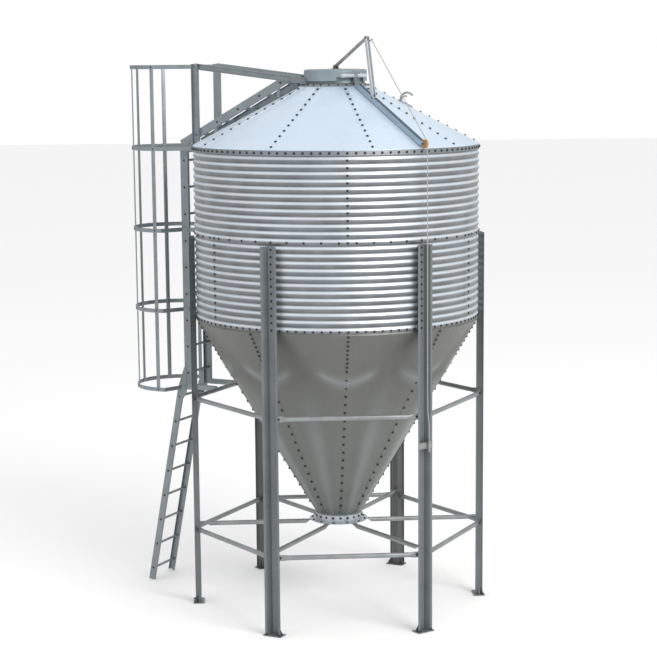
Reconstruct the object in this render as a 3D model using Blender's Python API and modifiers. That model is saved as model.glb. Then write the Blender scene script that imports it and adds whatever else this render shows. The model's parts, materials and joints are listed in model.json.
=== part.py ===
"""Hopper-bottomed galvanised steel silo on six legs, with its caged ladder and rope-opened lid.

Metres, +Z up. Pieces are placed around the silo's own axis; azimuths run from the front
(-Y) towards the right (+X). One named object for each sub-part.
"""

import math

import bmesh
import bpy
from mathutils import Matrix, Vector

# Overall sizes
SHELL_R = 1.378  # crests of the corrugated wall
WAVE_DEPTH = 0.013
RING_PITCH = 0.808
RIM_Z = 2.861  # lower edge of the wall
JOINT_Z = 3.690  # where the two wall rings meet
WALL_TOP_Z = 4.514
WAVES = 0
SHEET_T = 0.003
GAP = 0.0003
STEP = 5.0  # degrees of each facet of a turned piece
SEAM = 0.015  # degrees between a sheet's end and its seam

# Roof, hatch and hopper
EAVE_R = 1.3813
EAVE_Z = 4.5237
SKIRT_Z = 4.474
ROOF_SLOPE = 0.524
HATCH_R = 0.297
HATCH_TOP_Z = 5.197
LID_R = 0.3025
LID_SKIRT_Z = 5.163
LID_APEX_Z = 5.228
HOPPER_R = SHELL_R - SHEET_T - 0.0003 - (WAVE_DEPTH + 0.0005 if WAVES else 0.0)
HOPPER_TOP_Z = 2.930
HOPPER_Z = 2.846
NECK_TOP_Z = 0.903
NECK_R = 0.2265
NECK_Z = 0.835
COLLAR_TOP_Z = 0.890
FLANGE_Z = 0.819
FLANGE_R = 0.290

# Legs and braces
LEG_TOP_Z = 3.655
LEG_WEB = 0.0285
LEG_DEPTH = 0.055
LEG_LIP = 0.081
LEG_T = 0.003
FOOT_T = 0.010
BRACE_R = 0.0225
UPPER_BRACE_Z = 2.064
LOWER_BRACE_Z = 0.752

# Ladder, cage and rails
LADDER_AZ = -120.0
RAIL_RHO = 1.577
RAIL_DEPTH = 0.080
RAIL_T = 0.205
RAIL_PLATE = 0.004
RAIL_FLANGE = 0.030
RAIL_TOP_Z = 4.474
RAIL_FOOT_Z = 2.040
RUNG_TOP_Z = 4.350
RUNG_PITCH = 0.267
RUNGS = 9
RUNG_R = 0.012
LEAN = 0.195
LOWER_RHO = 1.687
LOWER_Z = 1.962
LOWER_DEPTH = 0.060
LOWER_RUNGS = 8
CAGE_RHO = 1.800
CAGE_R = 0.430
HOOP_Z = (5.267, 4.470, 3.663, 2.861, 2.062)
BAR_W = 0.040
BAR_T = 0.005
POST_RHO = 1.424
POST_DEPTH = 0.070
POST_TOP_Z = 5.294

# Lid opener, in its own radial plane
OPENER_AZ = 31.0
HINGE = (0.326, 5.172)
CLEVIS = (0.007, 5.262)
APEX = (0.515, 5.525)
PIVOT = (0.620, 4.968)
PULLEY = (1.400, 4.566)
PULLEY_R = 0.040
ROPE_R = 0.005
CLEAT_Z = 1.790
CLEAT_RHO = 1.462

EYE_AZ = 90.0
EYE_RHO = 0.668
EYE_R = 0.062

# Seats that follow from the sizes above
RAIL_OUT = RAIL_T + RAIL_PLATE / 2
PLATE_OUT = RAIL_OUT + 0.004 + GAP
POST_OUT = RAIL_OUT + GAP + RAIL_FLANGE
WALL_SEAT = math.sqrt(SHELL_R ** 2 - 0.178 ** 2) + 0.0008
BRACE_REACH = SHELL_R + GAP + LEG_T / 2 + LEG_DEPTH / 2
BRACE_ACROSS = LEG_WEB + LEG_DEPTH / 2 * math.tan(math.radians(30.0))
BRACE_SEAT = (BRACE_REACH * math.cos(math.radians(30.0))
              + BRACE_ACROSS * math.sin(math.radians(30.0)) + BRACE_R + GAP)
HANDRAIL_TIP = math.sqrt(HATCH_R ** 2 - RAIL_OUT ** 2) + 0.0040

LEGS = {
    "front_right": 30.0,
    "right": 90.0,
    "rear_right": 150.0,
    "rear_left": -150.0,
    "left": -90.0,
    "front_left": -30.0,
}

GALVANISED = (0.44, 0.46, 0.47, 1.0)
WALL = (0.66, 0.68, 0.70, 1.0)
ROOF = (0.62, 0.68, 0.75, 1.0)
HOPPER = (0.24, 0.24, 0.23, 1.0)
STEEL = (0.22, 0.25, 0.26, 1.0)
ORANGE = (0.75, 0.16, 0.03, 1.0)
ROPE = (0.55, 0.56, 0.56, 1.0)
RUST = (0.28, 0.15, 0.08, 1.0)


def clear_scene():
    for obj in list(bpy.data.objects):
        bpy.data.objects.remove(obj, do_unlink=True)


def material(name, colour, roughness=0.45, metallic=0.8):
    made = bpy.data.materials.new(name)
    made.use_nodes = True
    shader = made.node_tree.nodes["Principled BSDF"]
    shader.inputs["Base Color"].default_value = colour
    shader.inputs["Roughness"].default_value = roughness
    shader.inputs["Metallic"].default_value = metallic
    made.diffuse_color = colour
    return made


class Builder:
    """Keeps the collections and the empty on the silo's axis."""

    def __init__(self):
        self.parts = bpy.data.collections.new("galvanised_silo")
        bpy.context.scene.collection.children.link(self.parts)
        self.scratch = bpy.data.collections.new("scratch")
        bpy.context.scene.collection.children.link(self.scratch)
        self.axis = bpy.data.objects.new("silo_axis", None)
        self.parts.objects.link(self.axis)
        self.nodes = []

    def keep(self, obj, name, colour, place=None, roughness=0.45, metallic=0.8):
        """Names a finished body, gives it its material and hangs it on the axis empty."""
        for collection in list(obj.users_collection):
            collection.objects.unlink(obj)
        self.parts.objects.link(obj)
        obj.name = name
        obj.data.name = name
        obj.data.materials.clear()
        obj.data.materials.append(material(name + "_finish", colour, roughness, metallic))
        obj.parent = self.axis
        if place is not None:
            obj.matrix_local = place
        self.nodes.append(obj)
        return obj

    def link(self, obj):
        self.scratch.objects.link(obj)
        return obj


BUILD = None


def evaluated_mesh(obj):
    """Turns a curve or a modified object into a plain closed mesh in its parent's space."""
    bpy.context.view_layer.update()
    graph = bpy.context.evaluated_depsgraph_get()
    data = bpy.data.meshes.new_from_object(obj.evaluated_get(graph))
    work = bmesh.new()
    work.from_mesh(data)
    bmesh.ops.remove_doubles(work, verts=work.verts, dist=0.00001)
    bmesh.ops.holes_fill(work, edges=[e for e in work.edges if e.is_boundary])
    bmesh.ops.recalc_face_normals(work, faces=work.faces)
    work.to_mesh(data)
    work.free()
    data.transform(obj.matrix_world)
    made = bpy.data.objects.new(obj.name + "_body", data)
    BUILD.link(made)
    bpy.data.objects.remove(obj, do_unlink=True)
    return made


def box(low, high, place=None):
    """A block between two corners, in the space of place."""
    work = bmesh.new()
    bmesh.ops.create_cube(work, size=1.0)
    size = [high[i] - low[i] for i in range(3)]
    middle = [(high[i] + low[i]) / 2 for i in range(3)]
    bmesh.ops.scale(work, vec=size, verts=work.verts)
    bmesh.ops.translate(work, vec=middle, verts=work.verts)
    data = bpy.data.meshes.new("block")
    work.to_mesh(data)
    work.free()
    obj = BUILD.link(bpy.data.objects.new("block", data))
    if place is not None:
        data.transform(place)
    return obj


def rod(start, end, radius, sides=8):
    """A round bar between two points."""
    start, end = Vector(start), Vector(end)
    run = end - start
    work = bmesh.new()
    bmesh.ops.create_cone(work, cap_ends=True, segments=sides, radius1=radius,
                          radius2=radius, depth=run.length)
    turn = run.to_track_quat("Z", "Y").to_matrix().to_4x4()
    data = bpy.data.meshes.new("rod")
    work.to_mesh(data)
    work.free()
    data.transform(Matrix.Translation((start + end) / 2) @ turn)
    return BUILD.link(bpy.data.objects.new("rod", data))


def flat_ended_tube(length, radius, tab=0.055, squeeze=0.045, rise=0.0):
    """A tube along +X whose two ends are pressed flat, as on a bolted brace."""
    work = bmesh.new()
    bmesh.ops.create_cone(work, cap_ends=True, segments=10, radius1=radius,
                          radius2=radius, depth=length - 2 * (tab + squeeze))
    bmesh.ops.rotate(work, cent=(0, 0, 0), matrix=Matrix.Rotation(math.pi / 2, 3, "Y"),
                     verts=work.verts)
    bmesh.ops.translate(work, vec=(length / 2, 0, 0), verts=work.verts)
    for side in (-1, 1):
        work.faces.ensure_lookup_table()
        cap = max(work.faces, key=lambda f: side * f.calc_center_median().x)
        for run, wide, tall in ((squeeze, 1.28, 0.28), (tab, 1.0, 1.0)):
            made = bmesh.ops.extrude_face_region(work, geom=[cap])
            verts = [v for v in made["geom"] if isinstance(v, bmesh.types.BMVert)]
            bmesh.ops.delete(work, geom=[cap], context="FACES_ONLY")
            bmesh.ops.scale(work, vec=(1, wide, tall), verts=verts)
            lift = rise if run == squeeze else 0.0
            bmesh.ops.translate(work, vec=(side * run, 0, lift), verts=verts)
            cap = [f for f in made["geom"] if isinstance(f, bmesh.types.BMFace)][0]
    bmesh.ops.recalc_face_normals(work, faces=work.faces)
    data = bpy.data.meshes.new("tube")
    work.to_mesh(data)
    work.free()
    return BUILD.link(bpy.data.objects.new("tube", data))


def strip(middle_line, thickness):
    """Closed outline of a bent strip of even thickness around a middle line."""
    pts = [Vector(p) for p in middle_line]
    left, right = [], []
    for i, p in enumerate(pts):
        before = (pts[i] - pts[i - 1]).normalized() if i else None
        after = (pts[i + 1] - pts[i]).normalized() if i + 1 < len(pts) else None
        before = before or after
        after = after or before
        n1 = Vector((-before.y, before.x))
        n2 = Vector((-after.y, after.x))
        mid = (n1 + n2).normalized()
        reach = thickness / 2 / max(0.2, mid.dot(n1))
        left.append(p + mid * reach)
        right.append(p - mid * reach)
    return left + right[::-1]


def prism(points, low, high, place=None):
    """A closed flat outline in XY, extruded from low to high along Z."""
    curve = bpy.data.curves.new("outline", "CURVE")
    curve.dimensions = "2D"
    curve.fill_mode = "BOTH"
    curve.extrude = (high - low) / 2
    spline = curve.splines.new("POLY")
    spline.points.add(len(points) - 1)
    for i, p in enumerate(points):
        spline.points[i].co = (p[0], p[1], 0.0, 1.0)
    spline.use_cyclic_u = True
    obj = BUILD.link(bpy.data.objects.new("outline", curve))
    obj.location.z = (low + high) / 2
    made = evaluated_mesh(obj)
    if place is not None:
        made.data.transform(place)
    return made


def sector(profile, start, sweep, thickness=SHEET_T, step=STEP):
    """A sheet turned part of the way about Z, from the (r, z) line of its outer face,
    top to bottom. Its two ends lie in radial planes, SEAM degrees short of the seam."""
    offset = strip(profile, thickness * 2)[len(profile):]
    outline = list(profile) + offset
    data = bpy.data.meshes.new("profile")
    work = bmesh.new()
    verts = [work.verts.new((p[0], 0.0, p[1])) for p in outline]
    for a, b in zip(verts, verts[1:] + verts[:1]):
        work.edges.new((a, b))
    work.to_mesh(data)
    work.free()
    obj = BUILD.link(bpy.data.objects.new("sheet", data))
    screw = obj.modifiers.new("turn", "SCREW")
    screw.angle = math.radians(sweep - 2 * SEAM)
    screw.steps = screw.render_steps = round(sweep / step)
    screw.use_merge_vertices = False
    screw.merge_threshold = 0.0001
    obj.rotation_euler.z = math.radians(start + SEAM - 90.0)
    return evaluated_mesh(obj)


def ring_of(profile, start=0.0, sweep=360.0, step=STEP):
    """A solid turned about Z from a closed profile (r, z)."""
    data = bpy.data.meshes.new("profile")
    work = bmesh.new()
    verts = [work.verts.new((r, 0.0, z)) for r, z in profile]
    on_axis = profile[0][0] == 0.0 and profile[-1][0] == 0.0
    for a, b in zip(verts, verts[1:] + ([] if on_axis else verts[:1])):
        work.edges.new((a, b))
    work.to_mesh(data)
    work.free()
    obj = BUILD.link(bpy.data.objects.new("ring", data))
    screw = obj.modifiers.new("turn", "SCREW")
    screw.angle = math.radians(sweep)
    screw.steps = screw.render_steps = round(sweep / step)
    screw.merge_threshold = 0.0001
    screw.use_merge_vertices = abs(sweep - 360.0) < 0.001
    obj.rotation_euler.z = math.radians(start - 90.0)
    return evaluated_mesh(obj)


def fuse(pieces):
    """Joins overlapping bodies into one closed body."""
    base = pieces[0]
    for other in pieces[1:]:
        cut = base.modifiers.new("join", "BOOLEAN")
        cut.operation = "UNION"
        cut.solver = "EXACT"
        cut.object = other
        graph = bpy.context.evaluated_depsgraph_get()
        graph.update()
        data = bpy.data.meshes.new_from_object(base.evaluated_get(graph))
        base.modifiers.remove(cut)
        base.data = data
        bpy.data.objects.remove(other, do_unlink=True)
    return base


def polar(azimuth, rho, z=0.0, across=0.0):
    """A point from azimuth, distance from the axis, height and tangential offset."""
    a = math.radians(azimuth)
    return Vector((rho * math.sin(a) + across * math.cos(a),
                   -rho * math.cos(a) + across * math.sin(a), z))


def facing(azimuth):
    """Space with X along the radius at this azimuth, Y across it to the left, Z up."""
    return Matrix.Rotation(math.radians(azimuth - 90.0), 4, "Z")


def in_plane(azimuth):
    """Space with X along the radius, Y up and Z across: outlines drawn as (rho, z)."""
    return facing(azimuth) @ Matrix.Rotation(math.pi / 2, 4, "X")


def plate(points, low, high, azimuth):
    """An outline drawn as (rho, z) in a radial plane, from one tangential offset to another."""
    return prism(points, -high, -low, in_plane(azimuth))


def channel(a, b, depth, across, flange, azimuth, thickness=0.004):
    """A C section between two points (rho, z) of a radial plane; flange is signed."""
    side = facing(azimuth)
    start = side @ Vector((a[0], 0, a[1]))
    end = side @ Vector((b[0], 0, b[1]))
    run = (end - start).normalized()
    tangent = side.to_3x3() @ Vector((0, 1, 0))
    normal = tangent.cross(run)
    place = Matrix.Translation(start) @ Matrix((normal, tangent, run)).transposed().to_4x4()
    line = [(-depth / 2, across + flange), (-depth / 2, across), (depth / 2, across),
            (depth / 2, across + flange)]
    return prism(strip(line, thickness), 0.0, (end - start).length, place)


def roof_z(r):
    return EAVE_Z + ROOF_SLOPE * (EAVE_R - r)


def build_legs():
    half_slant = LEG_DEPTH * math.tan(math.radians(30.0))
    line = [
        (-LEG_LIP, LEG_DEPTH), (-LEG_WEB - half_slant, LEG_DEPTH), (-LEG_WEB, 0.0),
        (LEG_WEB, 0.0), (LEG_WEB + half_slant, LEG_DEPTH), (LEG_LIP, LEG_DEPTH),
    ]
    centre = SHELL_R + GAP + LEG_T / 2
    for side, azimuth in LEGS.items():
        outline = strip([(centre + n, t) for t, n in line], LEG_T)
        leg = prism(outline, FOOT_T / 2, LEG_TOP_Z, facing(azimuth))
        plate = box((centre - 0.030, -0.092, 0.0), (centre + 0.078, 0.092, FOOT_T),
                    facing(azimuth))
        ears = []
        for s in (-1, 1):
            edge = s * (LEG_WEB + half_slant * 0.6)
            ear = prism([(edge, FOOT_T / 2), (s * 0.090, FOOT_T / 2), (s * 0.090, 0.022),
                         (edge, 0.085)], -0.003, 0.003,
                        facing(azimuth)
                        @ Matrix.Translation((centre + LEG_DEPTH * 0.45, 0, 0))
                        @ Matrix.Rotation(math.pi / 2, 4, "Z")
                        @ Matrix.Rotation(math.pi / 2, 4, "X"))
            ears.append(ear)
        BUILD.keep(fuse([leg, plate] + ears), "leg_" + side, STEEL)


def build_braces():
    sides = list(LEGS.items())
    for level, z in (("upper", UPPER_BRACE_Z), ("lower", LOWER_BRACE_Z)):
        for i, (side, azimuth) in enumerate(sides):
            nxt, other = sides[(i + 1) % 6]
            a = polar(azimuth, BRACE_REACH, z, BRACE_ACROSS)
            b = polar(other, BRACE_REACH, z, -BRACE_ACROSS)
            run = (b - a).normalized()
            inset = LEG_T / 2 + GAP + 0.0004
            a = a + run * inset
            b = b - run * inset
            tube = flat_ended_tube((b - a).length, BRACE_R)
            angle = math.atan2(run.y, run.x)
            # turned so that the pressed tabs stand upright
            place = (Matrix.Translation(a) @ Matrix.Rotation(angle, 4, "Z")
                     @ Matrix.Rotation(math.pi / 2, 4, "X"))
            BUILD.keep(tube, level + "_brace_" + side, STEEL, place)


def build_outlet():
    collar = ring_of([
        (NECK_R + GAP, COLLAR_TOP_Z), (NECK_R + GAP + 0.004, COLLAR_TOP_Z),
        (NECK_R + GAP + 0.004, FLANGE_Z + 0.005), (FLANGE_R, FLANGE_Z + 0.005),
        (FLANGE_R, FLANGE_Z), (NECK_R + GAP, FLANGE_Z),
    ])
    BUILD.keep(collar, "outlet_collar", GALVANISED)
    outer = SHELL_R - GAP
    inner = NECK_R + 0.006
    for side, azimuth in LEGS.items():
        tube = flat_ended_tube(outer - inner, BRACE_R, tab=0.050, rise=0.72 * BRACE_R)
        under = FLANGE_Z - GAP - BRACE_R
        place = facing(azimuth) @ Matrix.Translation((inner, 0, under))
        BUILD.keep(tube, "outlet_strut_" + side, STEEL, place)


def wall_profile(top, bottom):
    waves = max(1, WAVES)
    pitch = RING_PITCH / waves
    pts = [(SHELL_R, top)]
    if WAVES:
        count = int((top - bottom - 0.03) / (pitch / 2))
        first = top - ((top - bottom) - count * pitch / 2) / 2
        for i in range(count + 1):
            r = SHELL_R - (WAVE_DEPTH if i % 2 else 0.0)
            pts.append((r, first - i * pitch / 2))
    pts.append((SHELL_R if not WAVES or pts[-1][0] == SHELL_R else SHELL_R - WAVE_DEPTH,
                bottom))
    return pts


def build_shell():
    for level, top, bottom, first in (
        ("upper", WALL_TOP_Z, JOINT_Z + GAP, 0.0),
        ("lower", JOINT_Z, RIM_Z, 60.0),
    ):
        for i in range(3):
            sheet = sector(wall_profile(top, bottom), first + 120.0 * i, 120.0,
                           step=10.0 if WAVES else STEP)
            BUILD.keep(sheet, f"{level}_wall_{i + 1}", WALL)
    cone = [(HOPPER_R, HOPPER_TOP_Z), (HOPPER_R, HOPPER_Z), (NECK_R, NECK_TOP_Z),
            (NECK_R, NECK_Z)]
    for i in range(3):
        BUILD.keep(sector(cone, 120.0 * i, 120.0), f"hopper_{i + 1}", HOPPER)
    top_r = HATCH_R + GAP + SHEET_T * math.sin(math.atan(ROOF_SLOPE))
    roof = [(top_r, roof_z(top_r)), (EAVE_R, EAVE_Z), (EAVE_R, SKIRT_Z)]
    for i in range(3):
        BUILD.keep(sector(roof, -30.0 + 120.0 * i, 120.0), f"roof_{i + 1}", ROOF)


def build_hatch():
    low = roof_z(HATCH_R) - 0.02
    collar = ring_of([
        (HATCH_R - 0.003, HATCH_TOP_Z), (HATCH_R, HATCH_TOP_Z),
        (HATCH_R, roof_z(HATCH_R) + 0.0045), (0.335, roof_z(0.335) + 0.0045),
        (0.335, roof_z(0.335) + 0.0010), (HATCH_R, roof_z(HATCH_R) + 0.0010),
        (HATCH_R, low), (HATCH_R - 0.003, low),
    ])
    side = facing(OPENER_AZ)
    knuckle = rod(side @ Vector((HINGE[0], -0.018, HINGE[1])),
                  side @ Vector((HINGE[0], 0.018, HINGE[1])), 0.009)
    strap = plate([(HATCH_R - 0.002, 5.112), (HATCH_R + 0.022, 5.112),
                   (HINGE[0] + 0.007, HINGE[1] - 0.002), (HINGE[0] - 0.006, HINGE[1]),
                   (HATCH_R - 0.002, 5.136)], -0.015, 0.015, OPENER_AZ)
    BUILD.keep(fuse([collar, knuckle, strap]), "hatch_collar", GALVANISED)


def build_lid():
    edge = 5.200
    cap = ring_of([
        (0.0, LID_APEX_Z), (LID_R, edge), (LID_R, LID_SKIRT_Z),
        (LID_R - SHEET_T, LID_SKIRT_Z), (LID_R - SHEET_T, edge - SHEET_T),
        (0.0, LID_APEX_Z - SHEET_T),
    ])
    side = facing(OPENER_AZ)
    pieces = [cap]
    for low, high in ((-0.150, -0.021), (0.021, 0.140)):
        pieces.append(rod(side @ Vector((HINGE[0], low, HINGE[1])),
                          side @ Vector((HINGE[0], high, HINGE[1])), 0.009))
    for at in (-0.110, 0.100):
        reach = math.sqrt(LID_R ** 2 - (abs(at) + 0.014) ** 2)
        leaf = plate([(reach - 0.022, edge), (reach - 0.022, edge + 0.006),
                      (LID_R + 0.006, edge + 0.006), (HINGE[0] + 0.006, HINGE[1] + 0.006),
                      (HINGE[0] + 0.006, HINGE[1]), (HINGE[0] - 0.004, HINGE[1]),
                      (LID_R + 0.003, edge)],
                     at - 0.014, at + 0.014, OPENER_AZ)
        pieces.append(leaf)
    for s in (-1, 1):
        ear = plate([(CLEVIS[0] - 0.025, LID_APEX_Z - 0.0045),
                     (CLEVIS[0] + 0.025, LID_APEX_Z - 0.0060),
                     (CLEVIS[0] + 0.014, CLEVIS[1] + 0.012),
                     (CLEVIS[0] - 0.014, CLEVIS[1] + 0.012)],
                    s * 0.0165 - 0.0025, s * 0.0165 + 0.0025, OPENER_AZ)
        pieces.append(ear)
    lid = fuse(pieces)
    pivot = side @ Vector((HINGE[0], 0, HINGE[1]))
    lid.data.transform(Matrix.Translation(-pivot))
    BUILD.keep(lid, "lid", ROOF, Matrix.Translation(pivot))


def bar_between(a, b, width, low, high, azimuth, round_ends=True):
    """A flat bar in the radial plane with rounded ends around its two pivots."""
    a, b = Vector(a), Vector(b)
    run = (b - a).normalized()
    normal = Vector((-run.y, run.x))
    pts = []
    for centre, first in ((a, 90.0), (b, -90.0)):
        for k in range(5):
            ang = math.radians(first + 45.0 * k)
            pts.append(centre + (run * math.cos(ang) + normal * math.sin(ang)) * width / 2)
    return plate(pts, low, high, azimuth)


def build_opener():
    side = facing(OPENER_AZ)
    # U section that lies on the roof and carries the lever pivot and the pulley
    start, end = 0.345, 1.345
    lift = 0.006
    height = 0.045
    line = [(-0.022, height), (-0.022, 0.0), (0.022, 0.0), (0.022, height)]
    slope = math.atan(ROOF_SLOPE)
    length = (end - start) / math.cos(slope)
    bed = prism(strip(line, 0.003), 0.0, length)
    place = (side @ Matrix.Translation((start, 0, roof_z(start) + lift))
             @ Matrix.Rotation(math.pi / 2 + slope, 4, "Y")
             @ Matrix.Rotation(math.pi / 2, 4, "Z"))
    bed.data.transform(place)
    axle = rod(side @ Vector((PULLEY[0], -0.028, PULLEY[1])),
               side @ Vector((PULLEY[0], 0.028, PULLEY[1])), 0.006)
    ears = []
    for s in (-1, 1):
        low, high = sorted((s * 0.0205, s * 0.0235))
        ears.append(plate([(1.325, roof_z(1.325) + 0.012), (PULLEY[0], PULLEY[1] - 0.016),
                           (PULLEY[0] + 0.014, PULLEY[1]), (PULLEY[0], PULLEY[1] + 0.016),
                           (1.325, roof_z(1.325) + 0.048)], low, high, OPENER_AZ))
    BUILD.keep(fuse([bed, axle] + ears), "opener_channel", GALVANISED)

    def own_axis(body, at):
        pivot = side @ Vector((at[0], 0, at[1]))
        body.data.transform(Matrix.Translation(-pivot))
        return body, Matrix.Translation(pivot)

    lever = [bar_between(PIVOT, APEX, 0.030, low, high, OPENER_AZ)
             for low, high in ((-0.019, -0.013), (0.013, 0.019))]
    lever.append(rod(side @ Vector((PIVOT[0], -0.0202, PIVOT[1])),
                     side @ Vector((PIVOT[0], 0.0202, PIVOT[1])), 0.006))
    lever.append(bar_between((APEX[0] + 0.006, APEX[1] - 0.040),
                             (APEX[0] + 0.068, APEX[1] - 0.016), 0.014, 0.0125, 0.0185,
                             OPENER_AZ))
    middle = (PIVOT[0] * 0.8 + APEX[0] * 0.2, PIVOT[1] * 0.8 + APEX[1] * 0.2)
    lever.append(rod(side @ Vector((middle[0], -0.018, middle[1])),
                     side @ Vector((middle[0], 0.018, middle[1])), 0.006))
    body, place = own_axis(fuse(lever), PIVOT)
    BUILD.keep(body, "opener_lever", GALVANISED, place)
    link = bar_between(APEX, CLEVIS, 0.030, -0.006, 0.006, OPENER_AZ)
    pin = rod(side @ Vector((APEX[0], -0.0127, APEX[1])),
              side @ Vector((APEX[0], 0.0127, APEX[1])), 0.006)
    body, place = own_axis(fuse([link, pin]), APEX)
    BUILD.keep(body, "opener_link", STEEL, place)
    wheel = ring_of([(0.0068, 0.010), (PULLEY_R, 0.010), (PULLEY_R - 0.008, 0.003),
                     (PULLEY_R - 0.008, -0.003), (PULLEY_R, -0.010), (0.0068, -0.010)],
                    step=20.0)
    body = wheel
    body.data.transform(Matrix.Rotation(math.pi / 2, 4, "X"))
    pivot = side @ Vector((PULLEY[0], 0, PULLEY[1]))
    BUILD.keep(body, "pulley", ORANGE, Matrix.Translation(pivot) @ facing(OPENER_AZ),
               0.5, 0.0)


def arm(low, high, z0, z1, across0, across1):
    return box((low, across0, z0), (high, across1, z1), facing(LADDER_AZ))


def build_ladder():
    side = facing(LADDER_AZ)
    rails = [channel((RAIL_RHO, RAIL_FOOT_Z), (RAIL_RHO, RAIL_TOP_Z), RAIL_DEPTH,
                     s * RAIL_T, -s * RAIL_FLANGE, LADDER_AZ) for s in (-1, 1)]
    rungs = [rod(side @ Vector((RAIL_RHO, -RAIL_T, RUNG_TOP_Z - RUNG_PITCH * k)),
                 side @ Vector((RAIL_RHO, RAIL_T, RUNG_TOP_Z - RUNG_PITCH * k)), RUNG_R)
             for k in range(RUNGS)]
    arms = []
    for z1 in (RAIL_TOP_Z - 0.0003, HOOP_Z[2] + 0.020, HOOP_Z[3] + 0.020):
        for s in (-1, 1):
            low, high = sorted((s * 0.178, s * (0.236 if z1 > 4 else 0.206)))
            arms.append(arm(WALL_SEAT, RAIL_RHO - RAIL_DEPTH / 2 + 0.001, z1 - 0.040, z1,
                            low, high))
    for s in (-1, 1):
        low, high = sorted((s * 0.176, s * 0.206))
        arms.append(arm(BRACE_SEAT, RAIL_RHO - RAIL_DEPTH / 2 + 0.001, 2.044, 2.094,
                        low, high))
    BUILD.keep(fuse(rails + rungs + arms), "ladder", STEEL)


def leaning(z):
    """Middle line of the lower ladder, which leans out towards the ground."""
    return LOWER_RHO + LEAN * (LOWER_Z - z)


def build_lower_ladder():
    side = facing(LADDER_AZ)
    top = 2.020
    foot = (LOWER_DEPTH + RAIL_PLATE) / 2 * math.sin(math.atan(LEAN))
    pieces = []
    for s in (-1, 1):
        pieces.append(channel((leaning(foot), foot), (leaning(top), top), LOWER_DEPTH,
                              s * RAIL_T, -s * 0.025, LADDER_AZ))
    step = RUNG_PITCH / math.sqrt(1 + LEAN * LEAN)
    for k in range(LOWER_RUNGS):
        z = LOWER_Z - step * k
        pieces.append(rod(side @ Vector((leaning(z), -RAIL_T, z)),
                          side @ Vector((leaning(z), RAIL_T, z)), RUNG_R))
    BUILD.keep(fuse(pieces), "lower_ladder", STEEL)
    for name, s in (("near", 1), ("far", -1)):
        low, high = sorted((s * (RAIL_OUT + GAP), s * (RAIL_OUT + GAP + 0.004)))
        bend = plate([(RAIL_RHO + 0.034, 2.300), (RAIL_RHO + 0.020, 2.300),
                      (RAIL_RHO + 0.020, 2.010), (leaning(1.900) - 0.028, 1.900),
                      (leaning(1.900) + 0.028, 1.900), (leaning(2.040) + 0.030, 2.050)],
                     low, high, LADDER_AZ)
        BUILD.keep(bend, "bend_plate_" + name, STEEL)


def hoop_line(z):
    """Half of a cage hoop, from its seat on the ladder round to the outside."""
    if z > 4.0:
        seat = [(POST_RHO + 0.030, POST_OUT + GAP + BAR_T / 2), (POST_RHO + 0.060, 0.250)]
    elif z > 2.5:
        seat = [(RAIL_RHO - 0.030, RAIL_OUT + GAP + BAR_T / 2),
                (RAIL_RHO + 0.036, RAIL_OUT + GAP + BAR_T / 2 + 0.004)]
    else:
        seat = [(RAIL_RHO + 0.036, PLATE_OUT + GAP + BAR_T / 2),
                (RAIL_RHO + 0.070, PLATE_OUT + GAP + BAR_T / 2 + 0.006)]
    arc = [(CAGE_RHO + CAGE_R * math.cos(math.radians(a)),
            CAGE_R * math.sin(math.radians(a))) for a in range(100, -1, -20)]
    return seat + arc


def build_cage():
    pieces = []
    for z in HOOP_Z:
        half = hoop_line(z)
        line = half + [(x, -y) for x, y in half[-2::-1]]
        pieces.append(prism(strip(line, BAR_T), z - BAR_W / 2, z + BAR_W / 2,
                            facing(LADDER_AZ)))
    for a in (-90, -45, 0, 45, 90):
        r = CAGE_R - BAR_T / 2 - 0.0015
        place = (facing(LADDER_AZ) @ Matrix.Translation((CAGE_RHO, 0, 0))
                 @ Matrix.Rotation(math.radians(a), 4, "Z"))
        inner = r - BAR_T - (0.007 if a % 20 else 0.0)
        pieces.append(box((inner, -BAR_W / 2, HOOP_Z[4] - 0.015),
                          (r + 0.002, BAR_W / 2, HOOP_Z[0] + 0.015), place))
    BUILD.keep(fuse(pieces), "ladder_cage", STEEL)


def rail_z(rho):
    """Middle of the handrail above the roof."""
    return 5.268 - 0.121 * (1.396 - rho)


def build_handrails():
    for name, s in (("near", 1), ("far", -1)):
        across = s * (RAIL_OUT + GAP + RAIL_PLATE / 2)
        flange = s * (RAIL_FLANGE - RAIL_PLATE / 2)
        post = channel((POST_RHO, RAIL_TOP_Z), (POST_RHO, POST_TOP_Z), POST_DEPTH, across,
                       flange, LADDER_AZ)
        start = POST_RHO - 0.004
        rail = channel((HANDRAIL_TIP, rail_z(HANDRAIL_TIP)), (start, rail_z(start)), 0.054,
                       across, flange * 0.94, LADDER_AZ)
        BUILD.keep(fuse([post, rail]), "handrail_" + name, STEEL)


def stringer_z(rho):
    return 4.731 + 0.537 * (1.193 - rho)


def build_roof_ladder():
    side = facing(LADDER_AZ)
    pieces = []
    a, b = 0.400, 1.600
    for s in (-1, 1):
        pieces.append(channel((a, stringer_z(a)), (b, stringer_z(b)), 0.072, s * RAIL_T,
                              -s * 0.025, LADDER_AZ))
        for rho in (0.500, 1.200):
            c, d = sorted((s * 0.183, s * 0.2050))
            seat = roof_z(math.hypot(rho, 0.183)) + 0.0030
            pieces.append(box((rho, c, seat), (rho + 0.030, d, stringer_z(rho)), side))
    for rho in (1.428, 1.193, 0.958, 0.719, 0.489):
        pieces.append(rod(side @ Vector((rho, -RAIL_T, stringer_z(rho))),
                          side @ Vector((rho, RAIL_T, stringer_z(rho))), RUNG_R))
    BUILD.keep(fuse(pieces), "roof_ladder", STEEL)


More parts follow.
